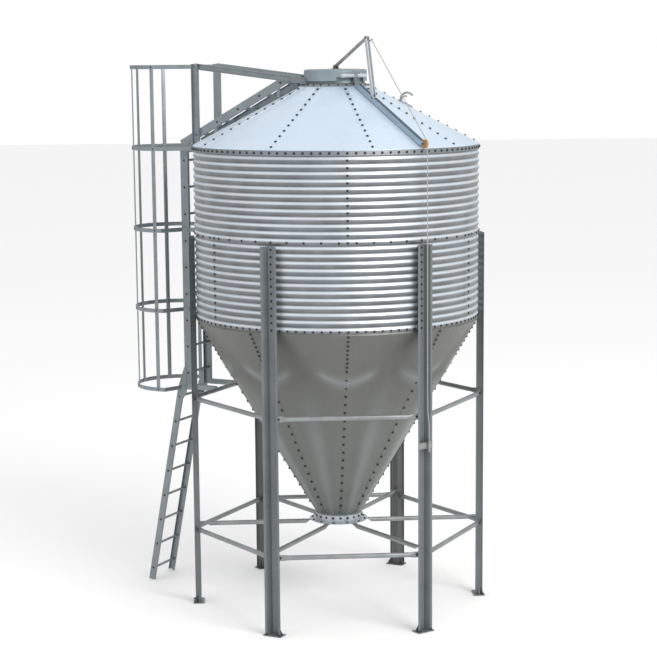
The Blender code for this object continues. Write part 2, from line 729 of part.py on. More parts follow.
def build_eye():
    ring = bpy.data.curves.new("eye", "CURVE")
    ring.dimensions = "3D"
    ring.bevel_depth = 0.008
    ring.bevel_resolution = 2
    ring.use_fill_caps = True
    spline = ring.splines.new("POLY")
    count = 17
    spline.points.add(count - 1)
    for k in range(count):
        a = math.radians(-35.0 + 250.0 * k / (count - 1))
        spline.points[k].co = (EYE_R * math.cos(a), 0.0, EYE_R * math.sin(a), 1.0)
    obj = BUILD.link(bpy.data.objects.new("eye", ring))
    body = evaluated_mesh(obj)
    seat = (facing(EYE_AZ)
            @ Matrix.Translation((EYE_RHO, 0, roof_z(EYE_RHO) + 0.0004))
            @ Matrix.Rotation(math.atan(ROOF_SLOPE), 4, "Y"))
    body.data.transform(seat @ Matrix.Translation((0, 0, 0.052)))
    pad = box((-0.075, -0.025, 0.0), (0.075, 0.025, 0.016), seat)
    BUILD.keep(fuse([pad, body]), "roof_eye", GALVANISED)


def rope(name, points):
    """A rope as a curve through points (rho, z) of the opener's plane."""
    data = bpy.data.curves.new(name, "CURVE")
    data.dimensions = "3D"
    data.bevel_depth = ROPE_R
    data.bevel_resolution = 2
    data.use_fill_caps = True
    spline = data.splines.new("POLY")
    spline.points.add(len(points) - 1)
    side = facing(OPENER_AZ)
    for i, (rho, z) in enumerate(points):
        at = side @ Vector((rho, 0.0, z))
        spline.points[i].co = (at.x, at.y, at.z, 1.0)
    obj = BUILD.link(bpy.data.objects.new(name, data))
    return BUILD.keep(evaluated_mesh(obj), name, ROPE, None, 0.8, 0.0)


def build_rope():
    tip = Vector((APEX[0] + 0.068, APEX[1] - 0.016))
    wheel = Vector(PULLEY)
    reach = PULLEY_R - 0.008 + ROPE_R + GAP
    run = tip - wheel
    lean = math.atan2(run.y, run.x) - math.acos(reach / run.length)
    touch = wheel + Vector((math.cos(lean), math.sin(lean))) * reach
    way = (touch - tip).normalized()
    first = tip + way * (0.007 + ROPE_R)
    last = touch - way * 0.001
    rope("pull_rope", [tuple(first.lerp(last, k / 4)) for k in range(5)])
    fall = [tuple(touch)]
    for k in range(1, 7):
        a = lean * (1 - k / 6)
        fall.append((wheel.x + math.cos(a) * reach, wheel.y + math.sin(a) * reach))
    out = wheel.x + reach
    fall += [(out, z) for z in (4.2, 3.8, 3.4, 3.0, 2.6, 2.3)]
    fall += [(out + 0.004, 2.1), (CLEAT_RHO, CLEAT_Z + 0.20), (CLEAT_RHO, CLEAT_Z + 0.0603)]
    rope("rope_fall", fall)


def build_cleat():
    side = facing(30.0)
    face = SHELL_R + GAP + LEG_T + LEG_DEPTH + GAP
    across = CLEAT_RHO * math.sin(math.radians(OPENER_AZ - 30.0))
    pieces = [
        box((face, -0.080, CLEAT_Z - 0.030), (face + 0.004, 0.080, CLEAT_Z + 0.030), side),
        box((face + 0.002, across - 0.010, CLEAT_Z - 0.014),
            (CLEAT_RHO, across + 0.010, CLEAT_Z + 0.014), side),
        box((CLEAT_RHO - 0.006, across - 0.009, CLEAT_Z - 0.060),
            (CLEAT_RHO + 0.006, across + 0.009, CLEAT_Z + 0.060), side),
    ]
    BUILD.keep(fuse(pieces), "rope_cleat", STEEL)


def centre_on_floor():
    """Moves the axis empty so that the whole part stands centred on the world's origin."""
    bpy.context.view_layer.update()
    corners = [obj.matrix_world @ v.co for obj in BUILD.nodes for v in obj.data.vertices]
    for i in range(3):
        low = min(c[i] for c in corners)
        high = max(c[i] for c in corners)
        BUILD.axis.location[i] -= low if i == 2 else (low + high) / 2
    bpy.context.view_layer.update()


def main():
    global BUILD
    clear_scene()
    BUILD = Builder()
    build_legs()
    build_braces()
    build_outlet()
    build_shell()
    build_hatch()
    build_lid()
    build_opener()
    build_ladder()
    build_lower_ladder()
    build_cage()
    build_handrails()
    build_roof_ladder()
    build_eye()
    build_rope()
    build_cleat()
    centre_on_floor()


main()
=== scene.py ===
"""Looks of a galvanised steel silo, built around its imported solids.

Lengths are metres and +Z is up. The silo's own axis stands at x = AXIS_X, and an azimuth
is counted from the front (-Y) towards the right (+X).
"""

from __future__ import annotations

import json
import logging
import math
from collections.abc import Callable, Iterable, Sequence
from dataclasses import dataclass
from enum import Enum

import bpy
from mathutils import Matrix, Vector

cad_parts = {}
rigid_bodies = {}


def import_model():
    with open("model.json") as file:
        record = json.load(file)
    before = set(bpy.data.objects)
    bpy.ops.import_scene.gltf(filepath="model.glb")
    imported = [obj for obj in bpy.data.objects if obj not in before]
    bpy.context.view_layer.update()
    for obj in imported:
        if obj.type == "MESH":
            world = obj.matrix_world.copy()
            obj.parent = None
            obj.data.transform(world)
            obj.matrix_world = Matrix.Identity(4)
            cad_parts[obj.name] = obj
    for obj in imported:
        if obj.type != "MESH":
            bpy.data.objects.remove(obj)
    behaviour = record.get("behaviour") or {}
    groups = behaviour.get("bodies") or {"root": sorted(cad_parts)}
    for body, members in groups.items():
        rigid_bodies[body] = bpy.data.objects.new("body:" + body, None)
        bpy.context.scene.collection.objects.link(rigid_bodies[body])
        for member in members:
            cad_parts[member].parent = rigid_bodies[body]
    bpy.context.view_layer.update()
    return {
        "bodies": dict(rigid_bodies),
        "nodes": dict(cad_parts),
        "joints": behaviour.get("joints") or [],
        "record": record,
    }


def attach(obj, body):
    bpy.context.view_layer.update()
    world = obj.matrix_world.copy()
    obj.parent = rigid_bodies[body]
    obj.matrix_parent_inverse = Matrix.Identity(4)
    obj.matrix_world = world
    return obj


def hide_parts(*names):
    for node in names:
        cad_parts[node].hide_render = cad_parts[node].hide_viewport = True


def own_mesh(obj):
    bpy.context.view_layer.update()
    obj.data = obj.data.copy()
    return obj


LOG = logging.getLogger("silo")

Pair = tuple[float, float]
Triple = tuple[float, float, float]

AXIS_X = 0.26351
SHELL_R = 1.378
LEG_FACE = 1.3813
PITCH = 0.06733  # height of one corrugation
JOINT_Z = 3.691  # the bolts between the two wall rings
SHEETS = 3  # that make a wall ring, the roof or the hopper in CAD
SHEET_SWEEP = 360.0 / SHEETS
PANELS = 9  # of the roof, and of the hopper
PANEL_SWEEP = 360.0 / PANELS
RING_STEP = 360.0 / 108  # between the bolts of the eave, the joint and the rim
UPRIGHT = Matrix.Rotation(math.pi / 2, 4, "X")
LEGS = {"front_right": 30.0, "right": 90.0, "rear_right": 150.0,
        "rear_left": -150.0, "left": -90.0, "front_left": -30.0}
OPENER_AZ = 31.0
LADDER_AZ = -120.0


class Slot(Enum):
    """Material slots of the record, passed along with new pieces."""

    WALL = "wall"
    ROOF = "roof"
    HOPPER = "hopper"
    BRACE = "brace"
    LADDER = "ladder"
    COLLAR = "collar"
    OPENER = "opener"
    PULLEY = "pulley"
    ROPE = "rope"


class Body(Enum):
    """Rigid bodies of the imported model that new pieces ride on."""

    SILO = "silo"
    LID = "lid"
    LEVER = "lever"
    PULLEY = "pulley_wheel"


# ---------------------------------------------------------------- workshop


def around(azimuth: float) -> Matrix:
    """Frame on the silo's axis whose X points out at an azimuth and Y runs along the wall.

    Args:
        azimuth: Degrees from the front towards the right.

    Returns:
        The frame's place in the world.
    """
    return Matrix.Translation((AXIS_X, 0, 0)) @ Matrix.Rotation(math.radians(azimuth - 90), 4, "Z")


def spot(azimuth: float, rho: float, z: float, along: float = 0.0) -> Matrix:
    """Frame of around(), moved out, up and along the wall.

    Args:
        azimuth: Degrees from the front towards the right.
        rho: Distance from the silo's axis.
        z: Height.
        along: Distance along the wall.

    Returns:
        The frame's place in the world.
    """
    return around(azimuth) @ Matrix.Translation((rho, along, z))


def leaning(elevation: float) -> Matrix:
    """Turns +Z to point outwards at an elevation.

    Args:
        elevation: Degrees above the level, in the frame's XZ plane.

    Returns:
        The turn as a matrix.
    """
    return Matrix.Rotation(math.radians(90.0 - elevation), 4, "Y")


def only(obj: bpy.types.Object) -> None:
    """Selects one object, makes it active and deselects all others.

    Args:
        obj: The object to work on.
    """
    for other in bpy.context.selected_objects:
        other.select_set(False)
    obj.select_set(True)
    bpy.context.view_layer.objects.active = obj


def edit(obj: bpy.types.Object, kind: str = "VERT") -> None:
    """Opens a piece in edit mode with everything selected.

    Args:
        obj: The piece.
        kind: What is selected, "VERT", "EDGE" or "FACE".
    """
    only(obj)
    bpy.ops.object.mode_set(mode="EDIT")
    bpy.ops.mesh.select_mode(type=kind)
    bpy.ops.mesh.select_all(action="SELECT")


def close_edit() -> None:
    """Goes back to object mode."""
    bpy.ops.object.mode_set(mode="OBJECT")


def edit_faces(obj: bpy.types.Object, test: Callable[[Vector, Vector], bool]) -> None:
    """Opens a piece in edit mode with chosen faces selected.

    Args:
        obj: The piece.
        test: Says from a face's centre and normal whether it is wanted.
    """
    edit(obj, "FACE")
    bpy.ops.mesh.select_all(action="DESELECT")
    close_edit()
    for face in obj.data.polygons:
        face.select = test(face.center, face.normal)
    bpy.ops.object.mode_set(mode="EDIT")


def weld(obj: bpy.types.Object, closed: bool = True) -> None:
    """Merges doubled points and, on a closed piece, turns the faces outwards.

    Args:
        obj: The piece.
        closed: Whether the piece is a closed shell.
    """
    edit(obj)
    bpy.ops.mesh.remove_doubles(threshold=0.00002)
    if closed:
        bpy.ops.mesh.normals_make_consistent(inside=False)
    close_edit()


def move_into(obj: bpy.types.Object, place: Matrix) -> bpy.types.Object:
    """Puts a piece at a place and applies that place to its mesh.

    Args:
        obj: The piece, made at the origin.
        place: Where it goes.

    Returns:
        The same piece, with its object at the origin.
    """
    only(obj)
    obj.matrix_world = place
    bpy.ops.object.transform_apply(location=True, rotation=True, scale=True)
    return obj


def join(pieces: Sequence[bpy.types.Object], name: str) -> bpy.types.Object:
    """Joins pieces to one object.

    Args:
        pieces: At least one piece.
        name: The joined piece's name.

    Returns:
        The joined piece.
    """
    only(pieces[0])
    for piece in pieces:
        piece.select_set(True)
    if len(pieces) > 1:
        bpy.ops.object.join()
    pieces[0].name = name
    return pieces[0]


def finish_with(obj: bpy.types.Object, kind: str, **settings: object) -> None:
    """Adds a modifier with its settings and applies it.

    Args:
        obj: The piece.
        kind: Blender's name for the type of modifier.
        **settings: The modifier's properties, by name.
    """
    only(obj)
    modifier = obj.modifiers.new("finish", kind)
    for key, value in settings.items():
        setattr(modifier, key, value)
    bpy.ops.object.modifier_apply(modifier=modifier.name)


def shade(obj: bpy.types.Object, angle: float = 35.0) -> bpy.types.Object:
    """Shades a piece smooth, with sharp edges above an angle.

    Args:
        obj: The piece.
        angle: Angle above which an edge stays sharp, degrees.

    Returns:
        The same piece.
    """
    only(obj)
    bpy.ops.object.shade_smooth_by_angle(angle=math.radians(angle))
    return obj


def drawn(name: str, points: Iterable[Sequence[float]], closed: bool = False,
          **settings: object) -> bpy.types.Object:
    """A curve of straight edges through points, turned into a mesh.

    Args:
        name: The piece's name.
        points: Points of three numbers.
        closed: Whether the last point joins the first.
        **settings: The curve's own settings, in the order in which they are set.

    Returns:
        The mesh object.
    """
    curve = bpy.data.curves.new(name, "CURVE")
    for key, value in settings.items():
        setattr(curve, key, value)
    points = list(points)
    spline = curve.splines.new("POLY")
    spline.points.add(len(points) - 1)
    for knot, point in zip(spline.points, points):
        knot.co = (*point, 1.0)
    spline.use_cyclic_u = closed
    obj = bpy.data.objects.new(name, curve)
    bpy.context.scene.collection.objects.link(obj)
    only(obj)
    bpy.ops.object.convert(target="MESH")
    return bpy.context.object


def spun(name: str, line: Sequence[Pair], place: Matrix, sweep: float, steps: int,
         closed: bool = False) -> bpy.types.Object:
    """Spins a line of (radius, height) points about the Z axis of a frame.

    Args:
        name: The piece's name.
        line: Points in the frame's XZ plane.
        place: The frame.
        sweep: Degrees to turn.
        steps: Number of facets along the sweep.
        closed: Whether the line is a closed outline.

    Returns:
        The turned piece.
    """
    obj = drawn(name, [place @ Vector((r, 0, z)) for r, z in line], closed, dimensions="3D")
    edit(obj)
    bpy.ops.mesh.spin(steps=steps, angle=math.radians(sweep), center=place.translation,
                      axis=place.to_3x3() @ Vector((0, 0, 1)))
    close_edit()
    weld(obj, closed)
    return obj


def face_from_axis(obj: bpy.types.Object) -> None:
    """Turns an open sheet's faces away from the silo's axis or up.

    Args:
        obj: The sheet.
    """
    total = 0.0
    for face in obj.data.polygons:
        out = Vector((face.center.x - AXIS_X, face.center.y, 0)).normalized()
        total += face.area * (face.normal.dot(out) + 0.3 * face.normal.z)
    if total < 0:
        edit(obj)
        bpy.ops.mesh.flip_normals()
        close_edit()


def sheet(name: str, line: Sequence[Pair], start: float, sweep: float, steps: int,
          gauge: float) -> bpy.types.Object:
    """A turned sheet of the silo's skin, with its thickness inwards.

    Args:
        name: The piece's name.
        line: Outer side as (radius, height) points.
        start: Azimuth of its first edge.
        sweep: Degrees that it covers.
        steps: Number of facets.
        gauge: Thickness of the sheet.

    Returns:
        The closed sheet.
    """
    obj = spun(name, line, around(start), sweep, steps)
    face_from_axis(obj)
    finish_with(obj, "SOLIDIFY", thickness=gauge, offset=-1.0)
    return obj


def plate(name: str, outline: Sequence[Pair], thickness: float, place: Matrix,
          edge: float = 0.0) -> bpy.types.Object:
    """A flat plate cut to an outline.

    Args:
        name: The piece's name.
        outline: Corners in the place's XY plane.
        thickness: Thickness, half to each side of that plane.
        place: Where the plate lies.
        edge: Width of its bevelled edges.

    Returns:
        The closed plate.
    """
    obj = drawn(name, [(x, y, 0.0) for x, y in outline], True, dimensions="2D",
                fill_mode="BOTH", extrude=thickness / 2)
    weld(obj)
    if edge:
        finish_with(obj, "BEVEL", width=edge, segments=2, limit_method="ANGLE",
                    angle_limit=math.radians(40))
    return move_into(obj, place)


def block(name: str, low: Triple, high: Triple, place: Matrix, edge: float) -> bpy.types.Object:
    """A block with bevelled edges between two corners of a frame.

    Args:
        name: The piece's name.
        low: Lowest corner.
        high: Highest corner.
        place: The frame.
        edge: Width of the bevel.

    Returns:
        The block.
    """
    bpy.ops.mesh.primitive_cube_add(size=1.0)
    obj = bpy.context.object
    obj.name = name
    size = [h - l for l, h in zip(low, high)]
    centre = [(h + l) / 2 for l, h in zip(low, high)]
    move_into(obj, Matrix.Translation(centre) @ Matrix.Diagonal((*size, 1.0)))
    edit(obj, "EDGE")
    bpy.ops.mesh.bevel(offset=edge, segments=2, affect="EDGES")
    close_edit()
    return move_into(obj, place)


def rod(name: str, a: Vector, b: Vector, radius: float, sides: int = 20) -> bpy.types.Object:
    """A round rod with softened ends.

    Args:
        name: The piece's name.
        a: World point of one end.
        b: World point of the other end.
        radius: The rod's radius.
        sides: Number of facets.

    Returns:
        The rod.
    """
    run = b - a
    bpy.ops.mesh.primitive_cylinder_add(vertices=sides, radius=radius, depth=run.length)
    obj = bpy.context.object
    obj.name = name
    edit_faces(obj, lambda centre, normal: abs(normal.z) > 0.9)
    bpy.ops.mesh.inset(thickness=radius * 0.12)
    bpy.ops.transform.resize(value=(1, 1, 1 + radius * 0.24 / run.length))
    close_edit()
    turn = run.to_track_quat("Z", "Y").to_matrix().to_4x4()
    return shade(move_into(obj, Matrix.Translation((a + b) / 2) @ turn))


def pressed_tube(name: str, length: float, radius: float, tab: float, rise: float,
                 place: Matrix) -> bpy.types.Object:
    """A round tube along +X whose two ends are pressed flat for a bolt.

    Args:
        name: The piece's name.
        length: Overall length.
        radius: Outer radius.
        tab: Length of each flat end.
        rise: How far the flat ends lie above the tube's middle.
        place: Where the first end lies.

    Returns:
        The tube.
    """
    squeeze, widening = 0.045, 1.086
    steps = ((0.25, 0.82), (0.5, 0.42), (0.25, 0.82))  # part of the squeeze, height left
    bpy.ops.mesh.primitive_cylinder_add(vertices=24, radius=radius,
                                        depth=length - 2 * (tab + squeeze),
                                        rotation=(0, math.pi / 2, 0))
    obj = bpy.context.object
    obj.name = name
    move_into(obj, Matrix.Translation((length / 2, 0, 0)) @ obj.matrix_world)
    for side in (-1.0, 1.0):
        at = max(side * v.co.x for v in obj.data.vertices)
        edit_faces(obj, lambda c, n: side * c.x > at - 1e-4 and abs(n.x) > 0.9)
        for part, left in steps:
            bpy.ops.mesh.extrude_region_move(
                TRANSFORM_OT_translate={"value": (side * squeeze * part, 0, rise * part)})
            bpy.ops.transform.resize(value=(1, widening, left))
        bpy.ops.mesh.extrude_region_move(TRANSFORM_OT_translate={"value": (side * tab, 0, 0)})
        close_edit()
    return shade(move_into(obj, place), 50)


def band(name: str, middle: Sequence[Pair], thickness: float, height: float,
         place: Matrix) -> bpy.types.Object:
    """A flat bar on edge, bent along a line.

    Args:
        name: The piece's name.
        middle: Middle line in the place's XY plane.
        thickness: The bar's thickness.
        height: The bar's width, half above and half below the plane.
        place: Where the bar lies.

    Returns:
        The bar.
    """
    points = [Vector(p) for p in middle]
    left: list[Vector] = []
    right: list[Vector] = []
    for i, point in enumerate(points):
        before = points[i] - points[max(0, i - 1)]
        after = points[min(len(points) - 1, i + 1)] - points[i]
        run = (before.normalized() + after.normalized()).normalized()
        side = Vector((-run.y, run.x)) * thickness / 2
        left.append(point + side)
        right.append(point - side)
    outline = [tuple(p) for p in left + right[::-1]]
    return shade(plate(name, outline, height, place, 0.0012), 40)


def repeated(name: str, pattern: bpy.types.Object, places: Iterable[Matrix]) -> bpy.types.Object:
    """Copies a pattern to many places and joins the copies.

    Args:
        name: The piece's name.
        pattern: The piece to copy, made at the origin.
        places: Where the copies go.

    Returns:
        One piece that holds all the copies.
    """
    copies = []
    for place in places:
        copy = pattern.copy()
        copy.data = pattern.data.copy()
        copy.matrix_world = place
        bpy.context.scene.collection.objects.link(copy)
        copies.append(copy)
    bpy.context.view_layer.update()
    whole = join(copies, name)
    bpy.ops.object.transform_apply(location=True, rotation=True, scale=True)
    return whole


# ---------------------------------------------------------------- finishes


class Desk:
    """Adds and links shader nodes in one node tree."""

    def __init__(self, tree: bpy.types.NodeTree) -> None:
        """Takes the tree to work in."""
        self.tree = tree

    def add(self, kind: str, **settings: object) -> bpy.types.Node:
        """Adds a node.

        Args:
            kind: The node's type name.
            **settings: Its properties.

        Returns:
            The new node.
        """
        node = self.tree.nodes.new(kind)
        for key, value in settings.items():
            setattr(node, key, value)
        return node

    def link(self, source: bpy.types.NodeSocket, target: bpy.types.NodeSocket) -> None:
        """Links an output to an input."""
        self.tree.links.new(source, target)

    def feed(self, target: bpy.types.NodeSocket, value: object) -> None:
        """Links a value that is an output, and sets any other value.

        Args:
            target: Socket that takes the value.
            value: An output socket, or a plain value.
        """
        if isinstance(value, bpy.types.NodeSocket):
            self.link(value, target)
        else:
            target.default_value = value

    def noise(self, where: bpy.types.NodeSocket, scale: object,
              detail: float = 2.0) -> bpy.types.NodeSocket:
        """Adds a noise texture.

        Args:
            where: The point that it reads.
            scale: Spots per metre, as a number or a socket.
            detail: How many finer layers it has.

        Returns:
            The noise as a value.
        """
        node = self.add("ShaderNodeTexNoise")
        self.link(where, node.inputs["Vector"])
        self.feed(node.inputs["Scale"], scale)
        node.inputs["Detail"].default_value = detail
        return node.outputs[0]

    def bump(self, height: bpy.types.NodeSocket, strength: float,
             distance: float) -> bpy.types.Node:
        """Adds a Bump node.

        Args:
            height: The relief.
            strength: How strongly it shows.
            distance: Its full height in metres.

        Returns:
            The node.
        """
        node = self.add("ShaderNodeBump")
        node.inputs["Strength"].default_value = strength
        node.inputs["Distance"].default_value = distance
        self.link(height, node.inputs["Height"])
        return node

    def math(self, operation: str, a: object, b: object = 0.0) -> bpy.types.NodeSocket:
        """Adds a Math node.

        Args:
            operation: The node's operation.
            a: First value or socket.
            b: Second value or socket.

        Returns:
            The node's output.
        """
        node = self.add("ShaderNodeMath", operation=operation)
        for socket, value in zip(node.inputs, (a, b)):
            self.feed(socket, value)
        return node.outputs[0]

    def stretch(self, value: bpy.types.NodeSocket, low: float, high: float,
                to_low: float = 0.0, to_high: float = 1.0) -> bpy.types.NodeSocket:
        """Maps a value from one range to another, clamped.

        Args:
            value: The socket to map.
            low: Start of the range.
            high: End of the range.
            to_low: What the start becomes.
            to_high: What the end becomes.

        Returns:
            The mapped value.
        """
        node = self.add("ShaderNodeMapRange")
        self.link(value, node.inputs[0])
        for socket, number in zip(node.inputs[1:5], (low, high, to_low, to_high)):
            socket.default_value = number
        return node.outputs[0]

    def blend(self, amount: bpy.types.NodeSocket, a: object, b: object) -> bpy.types.NodeSocket:
        """Mixes two colours.

        Args:
            amount: How much of the second.
            a: First colour or socket.
            b: Second colour or socket.

        Returns:
            The mixed colour.
        """
        node = self.add("ShaderNodeMix", data_type="RGBA")
        self.link(amount, node.inputs[0])
        for socket, value in zip(node.inputs[6:8], (a, b)):
            self.feed(socket, value if isinstance(value, bpy.types.NodeSocket) else (*value, 1.0))
        return node.outputs[2]


def new_material(name: str) -> tuple[bpy.types.Material, Desk, bpy.types.Node]:
    """Starts a material.

    Args:
        name: The material's name.

    Returns:
        The material, a desk for its nodes and its shader.
    """
    material = bpy.data.materials.new(name)
    material.use_nodes = True
    return material, Desk(material.node_tree), material.node_tree.nodes["Principled BSDF"]


def new_group(name: str, inputs: dict[str, tuple[str, object]],
              outputs: dict[str, str]) -> tuple[bpy.types.NodeTree, Desk]:
    """Starts a shader node group.

    Args:
        name: The group's name.
        inputs: Socket kind and default by name.
        outputs: Socket kind by name.

    Returns:
        The group and a desk for it.
    """
    tree = bpy.data.node_groups.new(name, "ShaderNodeTree")
    for label, (kind, value) in inputs.items():
        socket = tree.interface.new_socket(label, in_out="INPUT", socket_type=kind)
        if value is not None:
            socket.default_value = value
    for label, kind in outputs.items():
        tree.interface.new_socket(label, in_out="OUTPUT", socket_type=kind)
    return tree, Desk(tree)


def zinc_group() -> bpy.types.NodeTree:
    """Builds the galvanised coat: spangle, clouding, run marks and fine scratches.

    Returns:
        The node group.
    """
    tree, desk = new_group(
        "zinc coat",
        {"Vector": ("NodeSocketVector", None),
         "Light": ("NodeSocketColor", (0.8, 0.8, 0.8, 1.0)),
         "Dark": ("NodeSocketColor", (0.4, 0.4, 0.4, 1.0)),
         "Spangle": ("NodeSocketFloat", 60.0),
         "Cloud": ("NodeSocketFloat", 2.5),
         "Runs": ("NodeSocketFloat", 0.3),
         "Gloss": ("NodeSocketFloat", 0.35)},
        {"Color": "NodeSocketColor", "Roughness": "NodeSocketFloat",
         "Height": "NodeSocketFloat"})
    given = desk.add("NodeGroupInput").outputs
    result = desk.add("NodeGroupOutput").inputs
    flakes = desk.add("ShaderNodeTexVoronoi")
    desk.link(given["Vector"], flakes.inputs["Vector"])
    desk.link(given["Spangle"], flakes.inputs["Scale"])
    flake = desk.add("ShaderNodeSeparateColor")
    desk.link(flakes.outputs["Color"], flake.inputs[0])
    cloud = desk.noise(given["Vector"], given["Cloud"], 4.0)
    tall = desk.add("ShaderNodeMapping")
    tall.inputs["Scale"].default_value = (9.0, 9.0, 0.55)
    desk.link(given["Vector"], tall.inputs["Vector"])
    runs = desk.noise(tall.outputs[0], 1.6, 3.0)
    run = desk.math("MULTIPLY", desk.stretch(runs, 0.35, 0.65, -0.5, 0.5), given["Runs"])
    body = desk.stretch(cloud, 0.30, 0.70, 0.10, 0.90)
    speck = desk.math("MULTIPLY", desk.math("SUBTRACT", flake.outputs[0], 0.5), 0.22)
    mask = desk.math("ADD", desk.math("ADD", body, speck), run)
    clamp = desk.add("ShaderNodeClamp")
    desk.link(mask, clamp.inputs[0])
    desk.link(desk.blend(clamp.outputs[0], given["Dark"], given["Light"]), result["Color"])
    rough = desk.math("ADD", given["Gloss"],
                      desk.math("MULTIPLY", desk.math("SUBTRACT", flake.outputs[1], 0.5), 0.10))
    rough = desk.math("SUBTRACT", rough, desk.math("MULTIPLY", run, 0.15))
    desk.link(rough, result["Roughness"])
    fine = desk.noise(given["Vector"], 240.0)
    height = desk.math("ADD", desk.math("MULTIPLY", flake.outputs[2], 0.4),
                       desk.math("MULTIPLY", fine, 0.25))
    desk.link(height, result["Height"])
    return tree


def ripple_group() -> bpy.types.NodeTree:
    """Builds the mask of painted shade on each corrugation, all but the sky-facing flank, which
    keeps a painted highlight.

    Returns:
        The node group.
    """
    tree, desk = new_group(
        "trough grime",
        {"Vector": ("NodeSocketVector", None), "Pitch": ("NodeSocketFloat", 0.0673),
         "Crest": ("NodeSocketFloat", 0.0)},
        {"Mask": "NodeSocketFloat"})
    given = desk.add("NodeGroupInput").outputs
    result = desk.add("NodeGroupOutput").inputs
    split = desk.add("ShaderNodeSeparateXYZ")
    desk.link(given["Vector"], split.inputs[0])
    turns = desk.math("DIVIDE", desk.math("SUBTRACT", split.outputs[2], given["Crest"]),
                      given["Pitch"])
    # Painted highlight where the flank faces the sky; the mask lays painted shade on the rest of
    # the corrugation.
    wave = desk.math("SINE", desk.math("MULTIPLY", desk.math("SUBTRACT", turns, 0.04),
                                       2 * math.pi))
    patch = desk.noise(given["Vector"], 5.0)
    depth = desk.stretch(wave, 0.97, -0.05)
    # The painted shade is darkest just above the next highlight.
    shade_phase = desk.math("MULTIPLY", desk.math("ADD", turns, 0.45), 2 * math.pi)
    shade_grade = desk.math("ADD", 0.93, desk.math("MULTIPLY", 0.07, desk.math(
        "COSINE", shade_phase)))
    depth = desk.math("MULTIPLY", depth, shade_grade)
    vary = desk.stretch(patch, 0.3, 0.7, 0.88, 1.0)
    desk.link(desk.math("MULTIPLY", depth, vary), result["Mask"])
    return tree


def panel_group() -> bpy.types.NodeTree:
    """Builds the masks of painted light on the cone's nine bent panels: a painted sheen down the
    middle of each panel, a painted highlight along a crease that sags like a garland from seam to
    seam, and a mask by height for a painted bluish reflection low down.

    Returns:
        The node group.
    """
    tree, desk = new_group(
        "panel sheen",
        {"Vector": ("NodeSocketVector", None), "Panels": ("NodeSocketFloat", 9.0),
         "Crease": ("NodeSocketFloat", 2.36), "Sag": ("NodeSocketFloat", 0.13)},
        {"Sheen": "NodeSocketFloat", "Crease": "NodeSocketFloat", "Low": "NodeSocketFloat"})
    given = desk.add("NodeGroupInput").outputs
    result = desk.add("NodeGroupOutput").inputs
    split = desk.add("ShaderNodeSeparateXYZ")
    desk.link(given["Vector"], split.inputs[0])
    x, y, z = split.outputs
    angle = desk.math("ARCTAN2", desk.math("SUBTRACT", x, AXIS_X),
                      desk.math("MULTIPLY", y, -1.0))
    middle = desk.math("SUBTRACT", 0.5, desk.math("MULTIPLY", 0.5, desk.math(
        "COSINE", desk.math("MULTIPLY", angle, given["Panels"]))))
    # Painted bluish reflection, stronger down the cone.
    low = desk.stretch(z, 2.45, 1.75)
    desk.link(low, result["Low"])
    # Painted sheen down the middle of each panel, on the lower part.
    sheen = desk.math("MULTIPLY", desk.math("POWER", middle, 5.0), low)
    desk.link(sheen, result["Sheen"])
    # Painted highlight along the crease.
    line = desk.math("ADD", given["Crease"], desk.math("MULTIPLY", middle, given["Sag"]))
    away = desk.math("ABSOLUTE", desk.math("SUBTRACT", z, line))
    bright = desk.math("POWER", desk.stretch(away, 0.115, 0.0), 2.0)
    fade = desk.stretch(middle, 0.92, 0.55)
    desk.link(desk.math("MULTIPLY", bright, fade), result["Crease"])
    return tree


